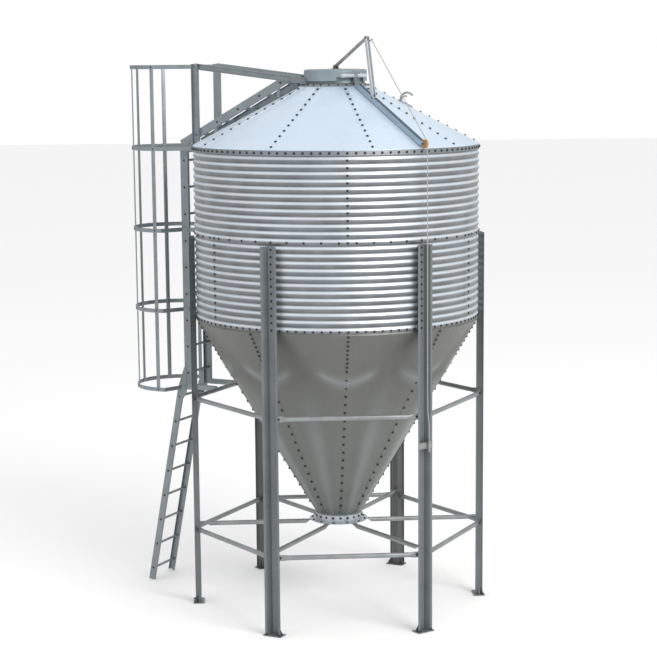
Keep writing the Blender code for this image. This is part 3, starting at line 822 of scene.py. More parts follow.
@dataclass(frozen=True)
class Zinc:
    """A galvanised finish.

    Attributes:
        name: The material's name.
        light: Colour of the bright coat.
        dark: Colour of the dull coat.
        gloss: Mean roughness.
        metallic: How metallic it is.
        spangle: Crystals per metre.
        cloud: Clouds per metre.
        runs: Strength of the run marks.
        bump: Strength of the fine relief.
        dents: Height of slow waves in the sheet, in metres.
        grime: Colour of the painted shade on the sheet that doesn't face the sky, and under the
            hem.
        crest: Height of one crest of the corrugation.
        hem: Height under which all takes the painted shade colour, in place of the corrugation's
            mask.
        sheen: Colour of the painted sheen down the bent panels' middles, of the painted highlight
            along their crease and of the painted reflection low down.
    """

    name: str
    light: Triple
    dark: Triple
    gloss: float = 0.40
    metallic: float = 0.6
    spangle: float = 70.0
    cloud: float = 3.0
    runs: float = 0.25
    bump: float = 0.05
    dents: float = 0.0
    grime: Triple | None = None
    crest: float = JOINT_Z
    hem: float | None = None
    sheen: Triple | None = None

    def make(self, zinc: bpy.types.NodeTree, ripple: bpy.types.NodeTree,
             panels: bpy.types.NodeTree) -> bpy.types.Material:
        """Makes the material.

        Args:
            zinc: The zinc coat group.
            ripple: The group of the corrugations' painted highlight and shade.
            panels: The group of the bent panels' painted sheen, crease highlight and low
                reflection.

        Returns:
            The material.
        """
        material, desk, shader = new_material(self.name)
        shader.inputs["Metallic"].default_value = self.metallic
        where = desk.add("ShaderNodeTexCoord").outputs["Object"]
        coat = desk.add("ShaderNodeGroup", node_tree=zinc)
        desk.link(where, coat.inputs["Vector"])
        coat.inputs["Light"].default_value = (*self.light, 1.0)
        coat.inputs["Dark"].default_value = (*self.dark, 1.0)
        for label, value in (("Spangle", self.spangle), ("Cloud", self.cloud),
                             ("Runs", self.runs), ("Gloss", self.gloss)):
            coat.inputs[label].default_value = value
        colour = coat.outputs["Color"]
        # Painted shade over the eave skirt, under the hem.
        if self.grime and self.hem:
            split = desk.add("ShaderNodeSeparateXYZ")
            desk.link(where, split.inputs[0])
            low = desk.stretch(split.outputs[2], self.hem + 0.0015, self.hem - 0.0015)
            colour = desk.blend(low, colour, self.grime)
        # Painted highlight on the corrugations' sky-facing flanks and painted shade over the rest.
        elif self.grime:
            waves = desk.add("ShaderNodeGroup", node_tree=ripple)
            waves.inputs["Crest"].default_value = self.crest
            desk.link(where, waves.inputs["Vector"])
            colour = desk.blend(waves.outputs["Mask"], colour, self.grime)
        # Painted sheen, crease highlight and bluish reflection on the bent panels.
        if self.sheen:
            bent = desk.add("ShaderNodeGroup", node_tree=panels)
            desk.link(where, bent.inputs["Vector"])
            for label, most in (("Low", 0.12), ("Sheen", 0.26), ("Crease", 0.42)):
                part = desk.math("MULTIPLY", bent.outputs[label], most)
                colour = desk.blend(part, colour, self.sheen)
        desk.link(colour, shader.inputs["Base Color"])
        desk.link(coat.outputs["Roughness"], shader.inputs["Roughness"])
        bump = desk.bump(coat.outputs["Height"], self.bump, 0.002)
        if self.dents:
            wave = desk.bump(desk.noise(where, 1.7, 1.0), 1.0, self.dents)
            desk.link(wave.outputs[0], bump.inputs["Normal"])
        desk.link(bump.outputs[0], shader.inputs["Normal"])
        return material


@dataclass(frozen=True)
class Plain:
    """A finish of mottled colour with a fine grain, for bolts, plastic and rope.

    Attributes:
        name: The material's name.
        light: Its lighter colour.
        dark: Its darker colour.
        roughness: Mean roughness.
        metallic: How metallic it is.
        grain: Spots per metre.
        bump: Strength of the relief.
    """

    name: str
    light: Triple
    dark: Triple
    roughness: float
    metallic: float
    grain: float
    bump: float = 0.15

    def make(self) -> bpy.types.Material:
        """Makes the material.

        Returns:
            The material.
        """
        material, desk, shader = new_material(self.name)
        shader.inputs["Metallic"].default_value = self.metallic
        where = desk.add("ShaderNodeTexCoord").outputs["Object"]
        spots = desk.noise(where, self.grain, 4.0)
        mask = desk.stretch(spots, 0.35, 0.65)
        desk.link(desk.blend(mask, self.dark, self.light), shader.inputs["Base Color"])
        desk.link(desk.stretch(spots, 0.3, 0.7, self.roughness + 0.08, self.roughness - 0.08),
                  shader.inputs["Roughness"])
        desk.link(desk.bump(spots, self.bump, 0.001).outputs[0], shader.inputs["Normal"])
        return material


class Finishes:
    """All materials of the silo, made once."""

    def __init__(self) -> None:
        """Builds the node groups and the materials."""
        zinc = zinc_group()
        ripple = ripple_group()
        panels = panel_group()

        def coat(**settings: object) -> bpy.types.Material:
            """Makes one galvanised material."""
            return Zinc(**settings).make(zinc, ripple, panels)

        # The wall's coat shows as a painted highlight on the sky-facing flanks; its painted shade
        # covers the rest.
        self.wall = coat(name="wall zinc", light=(0.65, 0.705, 0.76), dark=(0.56, 0.615, 0.67),
                         gloss=0.38, metallic=0.50, spangle=80.0, cloud=1.6, runs=0.15,
                         grime=(0.105, 0.110, 0.111))
        # The roof's painted shade darkens the eave skirt.
        self.roof = coat(name="roof zinc", light=(0.615, 0.715, 0.82), dark=(0.52, 0.62, 0.73),
                         gloss=0.42, metallic=0.50, spangle=90.0, cloud=1.2, runs=0.10,
                         dents=0.03, grime=(0.20, 0.225, 0.24), hem=4.5205)
        # The hopper's painted sheen, crease highlight and low reflection light the bent panels.
        self.hopper = coat(name="hopper zinc", light=(0.172, 0.174, 0.163),
                           dark=(0.138, 0.138, 0.129), gloss=0.42, metallic=0.55,
                           spangle=110.0, cloud=1.3, runs=0.12, dents=0.02,
                           sheen=(0.37, 0.43, 0.44))
        self.leg = coat(name="leg zinc", light=(0.193, 0.218, 0.225), dark=(0.153, 0.171, 0.175),
                        gloss=0.43, metallic=0.5, spangle=120.0, cloud=4.0, runs=0.2)
        # Painted shade: a darker copy of the leg zinc for the two rear legs, which stand in shade.
        self.shaded_rear_leg = coat(name="painted shade leg zinc", light=(0.135, 0.141, 0.138),
                             dark=(0.090, 0.094, 0.092), gloss=0.5, metallic=0.5,
                             spangle=120.0, cloud=4.0, runs=0.25)
        self.brace = coat(name="tube zinc", light=(0.31, 0.33, 0.335), dark=(0.23, 0.245, 0.248),
                          gloss=0.42, metallic=0.55, spangle=140.0, cloud=7.0, runs=0.1)
        self.ladder = coat(name="ladder zinc", light=(0.265, 0.302, 0.316),
                           dark=(0.208, 0.236, 0.247), gloss=0.45, metallic=0.5, spangle=140.0,
                           cloud=8.0, runs=0.2)
        self.collar = coat(name="collar zinc", light=(0.52, 0.57, 0.61),
                           dark=(0.42, 0.47, 0.51), gloss=0.34, metallic=0.55, spangle=200.0,
                           cloud=5.0, runs=0.05, bump=0.02)
        self.lid = coat(name="lid zinc", light=(0.26, 0.31, 0.345), dark=(0.22, 0.267, 0.30),
                        gloss=0.46, metallic=0.4, spangle=200.0, cloud=5.0, runs=0.05,
                        bump=0.02)
        # Painted highlight: a lighter copy of the zinc for the sky-lit hinge barrel and lever.
        self.bright = coat(name="painted highlight zinc", light=(0.55, 0.59, 0.61),
                           dark=(0.44, 0.475, 0.495), gloss=0.36, metallic=0.45, spangle=160.0,
                           cloud=8.0, runs=0.1, bump=0.02)
        # Painted reflection: a bluish copy of the zinc for the channel, whose up-facing web
        # reflects the sky.
        self.channel = coat(name="painted reflection channel zinc", light=(0.37, 0.46, 0.53),
                            dark=(0.32, 0.40, 0.465), gloss=0.42, metallic=0.45, spangle=160.0,
                            cloud=6.0, runs=0.05, bump=0.02)
        self.bar = coat(name="bar zinc", light=(0.36, 0.37, 0.375), dark=(0.22, 0.22, 0.22),
                        gloss=0.45, metallic=0.5, spangle=160.0, cloud=9.0, runs=0.1)
        self.bolt = Plain("bolt", (0.030, 0.032, 0.036), (0.010, 0.011, 0.013), 0.45, 0.3,
                          300.0).make()
        self.pulley = Plain("orange pulley", (0.60, 0.25, 0.055), (0.45, 0.17, 0.035), 0.5, 0.0,
                            160.0).make()
        self.rust = Plain("rusty steel", (0.22, 0.16, 0.12), (0.10, 0.075, 0.055), 0.75, 0.2,
                          150.0, 0.4).make()
        self.rope = Plain("rope fibre", (0.52, 0.50, 0.45), (0.32, 0.30, 0.27), 0.85, 0.0,
                          900.0, 0.5).make()


class Maker:
    """What every sub-assembly shares: finishes, bolts and the report of its pieces."""

    def __init__(self, finishes: Finishes, bolt: bpy.types.Object) -> None:
        """Keeps the finishes and the pattern bolt."""
        self.finishes = finishes
        self.bolt = bolt

    def keep(self, piece: bpy.types.Object, material: bpy.types.Material, slot: Slot,
             body: Body = Body.SILO,
             instead_of: Sequence[str] = ()) -> None:
        """Dresses a piece, lets it ride on its body and reports it.

        Args:
            piece: The finished piece.
            material: Its material.
            slot: The record's slot; not used.
            body: The body that carries it.
            instead_of: CAD nodes that it stands for.
        """
        piece.data.materials.clear()
        piece.data.materials.append(material)
        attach(piece, body.value)
        if instead_of:
            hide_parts(*instead_of)
        LOG.info("%s: %d faces", piece.name, len(piece.data.polygons))

    def bolts(self, name: str, places: Iterable[Matrix], slot: Slot = Slot.OPENER,
              body: Body = Body.SILO, scale: float = 1.0) -> None:
        """Sets a bolt at each place.

        Args:
            name: The piece's name.
            places: Seats whose +Z points out of the sheet.
            slot: The record's slot.
            body: The body that carries them.
            scale: Size against the pattern bolt.
        """
        size = Matrix.Scale(scale, 4)
        piece = repeated(name, self.bolt, [place @ size for place in places])
        for face in piece.data.polygons:
            face.use_smooth = True
        self.keep(piece, self.finishes.bolt, slot, body)

    def dress(self, frame: dict, nodes: Iterable[str], material: bpy.types.Material) -> None:
        """Gives CAD nodes a material.

        Args:
            nodes: The nodes' names.
            material: Their material.
        """
        for node in nodes:
            for place in frame["nodes"][node].material_slots:
                place.material = material


def pattern_bolt() -> bpy.types.Object:
    """Models the sealing bolt once: a washer, a collar and a domed head.

    Returns:
        The bolt at the origin, pointing up.
    """
    bpy.ops.mesh.primitive_cylinder_add(vertices=10, radius=0.0105, depth=0.0024,
                                        location=(0, 0, 0.0010))
    bolt = bpy.context.object
    bolt.name = "pattern_bolt"
    bpy.ops.object.transform_apply(location=True, rotation=True, scale=True)
    edit_faces(bolt, lambda centre, normal: normal.z > 0.9)
    bpy.ops.mesh.inset(thickness=0.0025)
    bpy.ops.mesh.extrude_region_move(TRANSFORM_OT_translate={"value": (0, 0, 0.0048)})
    bpy.ops.mesh.inset(thickness=0.0022)
    bpy.ops.transform.translate(value=(0, 0, 0.0012))
    close_edit()
    return bolt


# ---------------------------------------------------------------- the silo's skin


@dataclass
class Shell:
    """The round wall of two corrugated rings.

    Attributes:
        maker: The shared maker.
        mean_r: Radius midway between crest and trough.
        swing: Half the depth of a corrugation.
        pitch: Height of a corrugation.
        joint_z: Height of the bolts between the rings.
        rim_z: The wall's lower edge.
        top_z: The wall's upper edge.
        gauge: Thickness of the sheet.
        overlap: Half the height by which one ring covers the other.
        lap: How far a sheet's end lies over the next sheet.
        bolt: Size of the wall's bolts against the pattern bolt.
    """

    maker: Maker
    mean_r: float = 1.3715
    swing: float = 0.0065
    pitch: float = PITCH
    joint_z: float = JOINT_Z
    rim_z: float = 2.861
    top_z: float = 4.514
    gauge: float = 0.0012
    overlap: float = 0.0185
    lap: float = 0.0014
    bolt: float = 1.12

    def radius(self, z: float) -> float:
        """Outer radius of the corrugated sheet at a height."""
        return self.mean_r + self.swing * math.cos(2 * math.pi * (z - self.joint_z) / self.pitch)

    def line(self, low: float, high: float, lift: float) -> list[Pair]:
        """Outer side of a corrugated sheet.

        Args:
            low: Its lower edge.
            high: Its upper edge.
            lift: How far it lies outside the plain radius.

        Returns:
            Points as (radius, height).
        """
        count = round((high - low) / (self.pitch / 8))
        heights = [low + (high - low) * i / count for i in range(count + 1)]
        return [(self.radius(z) + lift, z) for z in heights]

    def build(self) -> None:
        """Builds the sheets, their laps and the rows of bolts."""
        rings = (("upper", self.joint_z - self.overlap, self.top_z, 0.0, self.gauge),
                 ("lower", self.rim_z, self.joint_z + self.overlap, 60.0, 0.0))
        for level, low, high, first, lift in rings:
            for i in range(SHEETS):
                name = f"{level}_sheet_{i + 1}"
                start = first + SHEET_SWEEP * i
                body = sheet(name, self.line(low, high, lift), start, SHEET_SWEEP, 48,
                             self.gauge)
                lap = sheet("lap", self.line(low, high, lift + self.lap), start - 1.1, 2.2, 2,
                            self.gauge)
                whole = shade(join([body, lap], name), 60)
                self.maker.keep(whole, self.maker.finishes.wall, Slot.WALL,
                                instead_of=[f"{level}_wall_{i + 1}"])
        self.bolt_rows()

    def bolt_rows(self) -> None:
        """Sets the bolts of the rings' edges, of the joint and of the seams."""
        out = leaning(0.0)
        crest = self.mean_r + self.swing

        def seat(azimuth: float, z: float, rho: float) -> Matrix:
            """A bolt's seat on the wall."""
            return spot(azimuth, rho, z) @ out

        rim_bolts_z = self.rim_z + 0.021
        rim = [seat(RING_STEP * k, rim_bolts_z, crest) for k in range(108)]
        joint = [seat(RING_STEP * k, self.joint_z, crest + self.gauge) for k in range(108)
                 if k % 2 or k % 18 == 0]
        seams = []
        for first, low, lift in ((0.0, self.joint_z, 0.0026), (60.0, rim_bolts_z, self.lap)):
            for i in range(SHEETS):
                for k in range(1, 12):
                    seams.append(seat(first + SHEET_SWEEP * i, low + self.pitch * k,
                                      crest + lift))
        for name, seats in (("rim_bolts", rim), ("joint_bolts", joint),
                            ("wall_seam_bolts", seams)):
            self.maker.bolts(name, seats, Slot.WALL, scale=self.bolt)


@dataclass
class Roof:
    """The cone roof of nine panels with its eave skirt and lifting eye.

    Attributes:
        maker: The shared maker.
        eave_r: Radius of the skirt.
        eave_z: Height of the eave's corner.
        skirt_z: Lower edge of the skirt.
        slope: Rise over run.
        hatch_r: Radius of the hole for the hatch.
        gauge: Thickness of the sheet.
        dish: How far a panel sinks between its seams.
        first: Azimuth of the first seam.
        eye_r: Distance of the lifting eye from the axis.
    """

    maker: Maker
    eave_r: float = 1.3813
    eave_z: float = 4.5237
    skirt_z: float = 4.474
    slope: float = 0.524
    hatch_r: float = 0.2985
    gauge: float = 0.0014
    dish: float = 0.004
    first: float = -30.0
    eye_r: float = 0.668

    def height(self, r: float) -> float:
        """Height of the roof's outer side at a radius."""
        return self.eave_z + self.slope * (self.eave_r - r)

    def build(self) -> None:
        """Builds the panels, laps, bolts and the eye."""
        inner = [self.hatch_r + (1.345 - self.hatch_r) * i / 10 for i in range(11)]
        line = [(r, self.height(r)) for r in inner]
        line += [(1.3715, self.height(1.3715)), (1.3785, self.height(1.3785) - 0.0012),
                 (self.eave_r, self.eave_z - 0.005), (self.eave_r + 0.0006, self.skirt_z + 0.004),
                 (self.eave_r + 0.0020, self.skirt_z)]
        groups: list[list[bpy.types.Object]] = [[], [], []]
        for k in range(PANELS):
            panel = sheet("panel", line, self.first + PANEL_SWEEP * k, PANEL_SWEEP, 16,
                          self.gauge)
            for vertex in panel.data.vertices:
                x, y = vertex.co.x - AXIS_X, vertex.co.y
                r = math.hypot(x, y)
                if r < self.eave_r - 0.03:
                    turn = math.degrees(math.atan2(x, -y)) - self.first - PANEL_SWEEP * k
                    part = (turn % 360.0) / PANEL_SWEEP
                    part = min(1.0, part) if part < 5.0 else 0.0
                    inside = min(1.0, (r - self.hatch_r) / 0.25, (1.35 - r) / 0.12)
                    vertex.co.z -= self.dish * math.sin(math.pi * part) * max(0.0, inside)
            groups[k // 3].append(panel)
        for i, group in enumerate(groups):
            for k in range(3):
                group.append(self.lap(self.first + SHEET_SWEEP * i + PANEL_SWEEP * k))
            name = f"roof_panels_{i + 1}"
            self.maker.keep(shade(join(group, name), 30), self.maker.finishes.roof, Slot.ROOF,
                            instead_of=[f"roof_{i + 1}"])
        tilt = leaning(math.degrees(math.atan(1.0 / self.slope)))
        seams = []
        for k in range(PANELS):
            for i in range(12):
                r = 0.385 + (1.340 - 0.385) * i / 11
                seams.append(spot(self.first + PANEL_SWEEP * k, r, self.height(r) + 0.0014)
                             @ tilt)
        self.maker.bolts("roof_seam_bolts", seams, Slot.ROOF, scale=1.3)
        eave = [spot(RING_STEP * k, self.eave_r + 0.0004, 4.497) @ leaning(0.0)
                for k in range(108)]
        self.maker.bolts("eave_bolts", eave, Slot.ROOF, scale=1.15)
        self.build_eye()

    def lap(self, azimuth: float) -> bpy.types.Object:
        """The strip where one panel lies over the next.

        Args:
            azimuth: The seam's azimuth.

        Returns:
            The strip.
        """
        low, high = 0.340, 1.372
        angle = math.atan(self.slope)
        length = (high - low) / math.cos(angle)
        place = spot(azimuth, low, self.height(low)) @ Matrix.Rotation(angle, 4, "Y")
        outline = [(0.0, -0.021), (length, -0.021), (length, 0.024), (0.0, 0.024)]
        return plate("lap", outline, 0.0028, place, 0.0004)

    def build_eye(self) -> None:
        """Builds the lifting eye: a pad, a hoop and an inner strap."""
        seat = (spot(90.0, self.eye_r, self.height(self.eye_r) + 0.0004)
                @ Matrix.Rotation(math.atan(self.slope), 4, "Y"))
        pad = block("eye_pad", (-0.075, -0.025, 0.0), (0.075, 0.025, 0.014), seat, 0.003)
        turn = seat @ Matrix.Translation((0, 0, 0.052)) @ UPRIGHT
        hoop = self.bow("hoop", turn, 0.062, 0.0100, -40.0, 260.0)
        strap = self.bow("strap", turn @ Matrix.Translation((-0.012, -0.014, 0)), 0.036, 0.0075,
                         -30.0, 240.0)
        self.maker.keep(shade(join([pad, hoop, strap], "lifting_eye")),
                        self.maker.finishes.brace, Slot.COLLAR, instead_of=["roof_eye"])

    def bow(self, name: str, place: Matrix, radius: float, wire: float, start: float,
            sweep: float) -> bpy.types.Object:
        """A bent round bar.

        Args:
            name: The piece's name.
            place: Frame whose Z is the bend's axis.
            radius: Radius of the bend.
            wire: Radius of the bar.
            start: First angle.
            sweep: Angle that it covers.

        Returns:
            The closed bar.
        """
        ring = [(radius + wire * math.cos(math.radians(a)), wire * math.sin(math.radians(a)))
                for a in range(0, 360, 30)]
        obj = spun(name, ring, place @ Matrix.Rotation(math.radians(start), 4, "Z"), sweep, 24,
                   closed=True)
        edit(obj)
        bpy.ops.mesh.select_all(action="DESELECT")
        bpy.ops.mesh.select_non_manifold()
        bpy.ops.mesh.edge_face_add()
        bpy.ops.mesh.select_all(action="SELECT")
        bpy.ops.mesh.normals_make_consistent(inside=False)
        close_edit()
        return obj


@dataclass
class Hopper:
    """The cone under the wall, with its outlet.

    Attributes:
        maker: The shared maker.
        top_r: Radius at the rim.
        top_z: Height of the cone's upper end.
        neck_r: Radius of the neck.
        neck_z: Height of the cone's lower end.
        gauge: Thickness of the sheet.
        bulge: How far a panel swells between its seams.
        crease_z: Where the crease meets a seam.
        sag: How far the crease rises between two seams.
        outlet_z: Height of the outlet's flange.
    """

    maker: Maker
    top_r: float = 1.3747
    top_z: float = 2.846
    neck_r: float = 0.2265
    neck_z: float = 0.903
    gauge: float = 0.0016
    bulge: float = 0.008
    crease_z: float = 2.36
    sag: float = 0.13
    outlet_z: float = 0.824

    def radius(self, z: float) -> float:
        """Outer radius of the cone at a height."""
        part = (z - self.neck_z) / (self.top_z - self.neck_z)
        return self.neck_r + (self.top_r - self.neck_r) * part

    def build(self) -> None:
        """Builds the panels, laps, bolts and the outlet."""
        line = [(1.3620, 2.928), (1.3620, 2.872), (1.3690, 2.8580), (1.3735, 2.8500)]
        for i in range(41):
            z = self.top_z + (self.neck_z - self.top_z) * i / 40
            line.append((self.radius(z), z))
        line += [(self.neck_r, self.neck_z - 0.02), (self.neck_r, 0.836)]
        groups: list[list[bpy.types.Object]] = [[], [], []]
        for k in range(PANELS):
            panel = sheet("panel", line, PANEL_SWEEP * k, PANEL_SWEEP, 16, self.gauge)
            for vertex in panel.data.vertices:
                x, y, z = vertex.co.x - AXIS_X, vertex.co.y, vertex.co.z
                if self.neck_z < z < self.top_z - 0.02:
                    azimuth = math.degrees(math.atan2(x, -y))
                    turn = (azimuth - PANEL_SWEEP * k) % 360.0 / PANEL_SWEEP
                    part = turn if turn < 1.0 else (1.0 if turn < 5.0 else 0.0)
                    up = (z - self.neck_z) / (self.top_z - self.neck_z)
                    crease = self.crease_z + self.sag * math.sin(math.pi * part) ** 2
                    fold = math.exp(-((z - crease) / 0.11) ** 2)
                    swell = self.bulge * (math.sin(math.pi * part) * (1 - up) * up * 2 + fold)
                    factor = 1.0 + swell / math.hypot(x, y)
                    vertex.co.x = AXIS_X + x * factor
                    vertex.co.y = y * factor
            groups[k // 3].append(panel)
        for i, group in enumerate(groups):
            for k in range(3):
                group.append(self.lap(SHEET_SWEEP * i + PANEL_SWEEP * k))
            name = f"hopper_panels_{i + 1}"
            self.maker.keep(shade(join(group, name), 30), self.maker.finishes.hopper,
                            Slot.HOPPER, instead_of=[f"hopper_{i + 1}"])
        self.bolt_seams()
        self.build_outlet()

    def lap(self, azimuth: float) -> bpy.types.Object:
        """The strip where one panel lies over the next.

        Args:
            azimuth: The seam's azimuth.

        Returns:
            The strip.
        """
        run = Vector((self.neck_r - self.top_r, 0, self.neck_z - self.top_z))
        angle = math.atan2(-run.z, run.x)
        place = spot(azimuth, self.top_r, self.top_z) @ Matrix.Rotation(angle, 4, "Y")
        start, end = 0.004, run.length - 0.012
        outline = [(start, -0.022), (end, -0.014), (end, 0.014), (start, 0.022)]
        return plate("lap", outline, 0.0032, place, 0.0004)

    def bolt_seams(self) -> None:
        """Sets the bolts down the nine seams, closer near the rim."""
        run = math.hypot(self.top_r - self.neck_r, self.top_z - self.neck_z)
        tilt = math.atan2(self.top_r - self.neck_r, self.top_z - self.neck_z)
        along = [0.017 + 0.0508 * i for i in range(9)]
        while along[-1] < run - 0.13:
            along.append(along[-1] + 0.1005)
        seats = []
        for k in range(PANELS):
            for s in along:
                z = self.top_z - s * math.cos(tilt)
                seats.append(spot(PANEL_SWEEP * k, self.radius(z) + self.gauge, z)
                             @ leaning(-math.degrees(tilt)))
        self.maker.bolts("hopper_seam_bolts", seats, Slot.HOPPER, scale=1.3)

    def build_outlet(self) -> None:
        """Builds the outlet's band with its flange and bolts."""
        inner, outer = self.neck_r + 0.0003, self.neck_r + 0.0043
        line = [(inner, 0.890), (outer - 0.001, 0.890), (outer, 0.889), (outer, 0.827),
                (outer + 0.003, 0.8245), (0.288, self.outlet_z), (0.290, 0.8225), (0.290, 0.8205),
                (0.288, 0.8191), (inner, 0.8191)]
        collar = spun("outlet_band", line, around(0.0), 360.0, 72, closed=True)
        self.maker.keep(shade(collar), self.maker.finishes.collar, Slot.COLLAR,
                        instead_of=["outlet_collar"])
        seats = [spot(18.0 * k, outer, 0.867) @ leaning(0.0) for k in range(20)]
        seats += [spot(30.0 * k + 15.0, 0.262, self.outlet_z) for k in range(12)]
        self.maker.bolts("outlet_bolts", seats, Slot.COLLAR, scale=1.15)


# ---------------------------------------------------------------- hatch and opener


@dataclass
class Hatch:
    """The filling neck on top of the roof and its hinged lid.

    Attributes:
        maker: The shared maker.
        roof: The roof that it stands on.
        neck_r: Radius of the neck.
        top_z: The neck's upper edge.
        lid_r: Radius of the lid's skirt.
        lid_top_z: The lid's flat top.
        skirt_z: The lower edge of the lid's skirt.
        notch_z: Where the skirt ends beside the hinge.
        hinge: The hinge's axis as (radius, height) in the opener's plane.
        barrel_r: Radius of the hinge's barrel.
        seat_r: Distance of the neck's bolts from the axis.
    """

    maker: Maker
    roof: Roof
    neck_r: float = 0.283
    top_z: float = 5.197
    lid_r: float = 0.3025
    lid_top_z: float = 5.238
    skirt_z: float = 5.122
    notch_z: float = 5.158
    hinge: Pair = (0.326, 5.172)
    barrel_r: float = 0.018
    seat_r: float = 0.3175

    def build(self) -> None:
        """Builds the neck, the lid and their hinge."""
        h = self.roof.height
        r = self.neck_r
        line = [(r - 0.003, self.top_z), (r, self.top_z), (r, h(r) + 0.010),
                (r + 0.004, h(r + 0.004) + 0.0045), (0.333, h(0.333) + 0.0045),
                (0.335, h(0.335) + 0.0030), (0.335, h(0.335) + 0.0016),
                (r, h(r) + 0.0016), (r, h(r) - 0.018), (r - 0.003, h(r) - 0.018)]
        neck = spun("neck", line, around(0.0), 360.0, 72, closed=True)
        side = around(OPENER_AZ)
        pin = rod("pin", side @ Vector((self.hinge[0], -0.0195, self.hinge[1])),
                  side @ Vector((self.hinge[0], 0.0195, self.hinge[1])), self.barrel_r)
        strap = plate("strap", [(r - 0.002, 5.102), (self.hinge[0] - 0.006, 5.102),
                                (self.hinge[0] + 0.011, 5.160), (self.hinge[0] - 0.008, 5.168),
                                (self.hinge[0] - 0.020, 5.146), (r - 0.002, 5.134)], 0.030,
                      side @ UPRIGHT, 0.002)
        whole = shade(join([neck, pin, strap], "hatch_neck"))
        self.maker.keep(whole, self.maker.finishes.ladder, Slot.COLLAR,
                        instead_of=["hatch_collar"])
        seats = [spot(15.0 * k, self.seat_r, h(self.seat_r) + 0.0045) @ leaning(62.35)
                 for k in range(24)]
        self.maker.bolts("hatch_bolts", seats, Slot.COLLAR)
        self.build_lid()

    def build_lid(self) -> None:
        """Builds the deep lid, cut away beside its hinge, with its barrel and clevis."""
        r, top, low = self.lid_r, self.lid_top_z, self.skirt_z
        line = [(0.0, top), (0.200, top - 0.0015), (0.280, top - 0.0040),
                (0.294, top - 0.0085), (r - 0.0015, top - 0.0150), (r, top - 0.0240),
                (r, low + 0.0080), (r + 0.0014, low + 0.0045), (r + 0.0005, low),
                (r - 0.0030, low + 0.0010), (r - 0.0030, top - 0.0250),
                (0.285, top - 0.0085), (0.200, top - 0.0045), (0.0, top - 0.0030)]
        cap = spun("hatch_lid", line, around(0.0), 360.0, 72, closed=False)
        edit(cap)
        bpy.ops.mesh.normals_make_consistent(inside=False)
        close_edit()
        side = around(OPENER_AZ)
        notch = block("notch", (0.200, -0.165, low - 0.010), (0.400, 0.130, self.notch_z),
                      side, 0.0005)
        finish_with(cap, "BOOLEAN", operation="DIFFERENCE", solver="EXACT", object=notch)
        bpy.data.objects.remove(notch)
        turn = side @ UPRIGHT
        self.maker.keep(shade(cap), self.maker.finishes.lid, Slot.COLLAR, Body.LID,
                        instead_of=["lid"])
        pieces = []
        for start, end in ((-0.165, -0.021), (0.021, 0.124)):
            pieces.append(rod("knuckle", side @ Vector((self.hinge[0], start, self.hinge[1])),
                              side @ Vector((self.hinge[0], end, self.hinge[1])),
                              self.barrel_r, 32))
        for at in (-0.110, 0.085):
            reach = math.sqrt(r ** 2 - (abs(at) + 0.014) ** 2)
            outline = [(reach - 0.001, 5.163), (reach - 0.001, 5.200),
                       (self.hinge[0] - 0.010, 5.190), (self.hinge[0], 5.182),
                       (self.hinge[0] - 0.006, 5.163)]
            pieces.append(plate("leaf", outline, 0.028, turn @ Matrix.Translation((0, 0, -at)),
                                0.001))
        # The barrel takes the lighter zinc as a painted highlight.
        self.maker.keep(shade(join(pieces, "lid_barrel")), self.maker.finishes.bright,
                        Slot.COLLAR, Body.LID)
        ears = []
        for s in (-1.0, 1.0):
            ears.append(plate("ear", [(-0.018, self.lid_top_z - 0.001),
                                      (0.032, self.lid_top_z - 0.001), (0.021, 5.274),
                                      (-0.007, 5.274)], 0.005,
                              turn @ Matrix.Translation((0, 0, s * 0.0165)), 0.001))
        foot = block("clevis_foot", (-0.035, -0.030, self.lid_top_z - 0.0010),
                     (0.045, 0.030, self.lid_top_z + 0.0035), side, 0.001)
        self.maker.keep(shade(join([*ears, foot], "lid_clevis")), self.maker.finishes.rust,
                        Slot.OPENER, Body.LID)


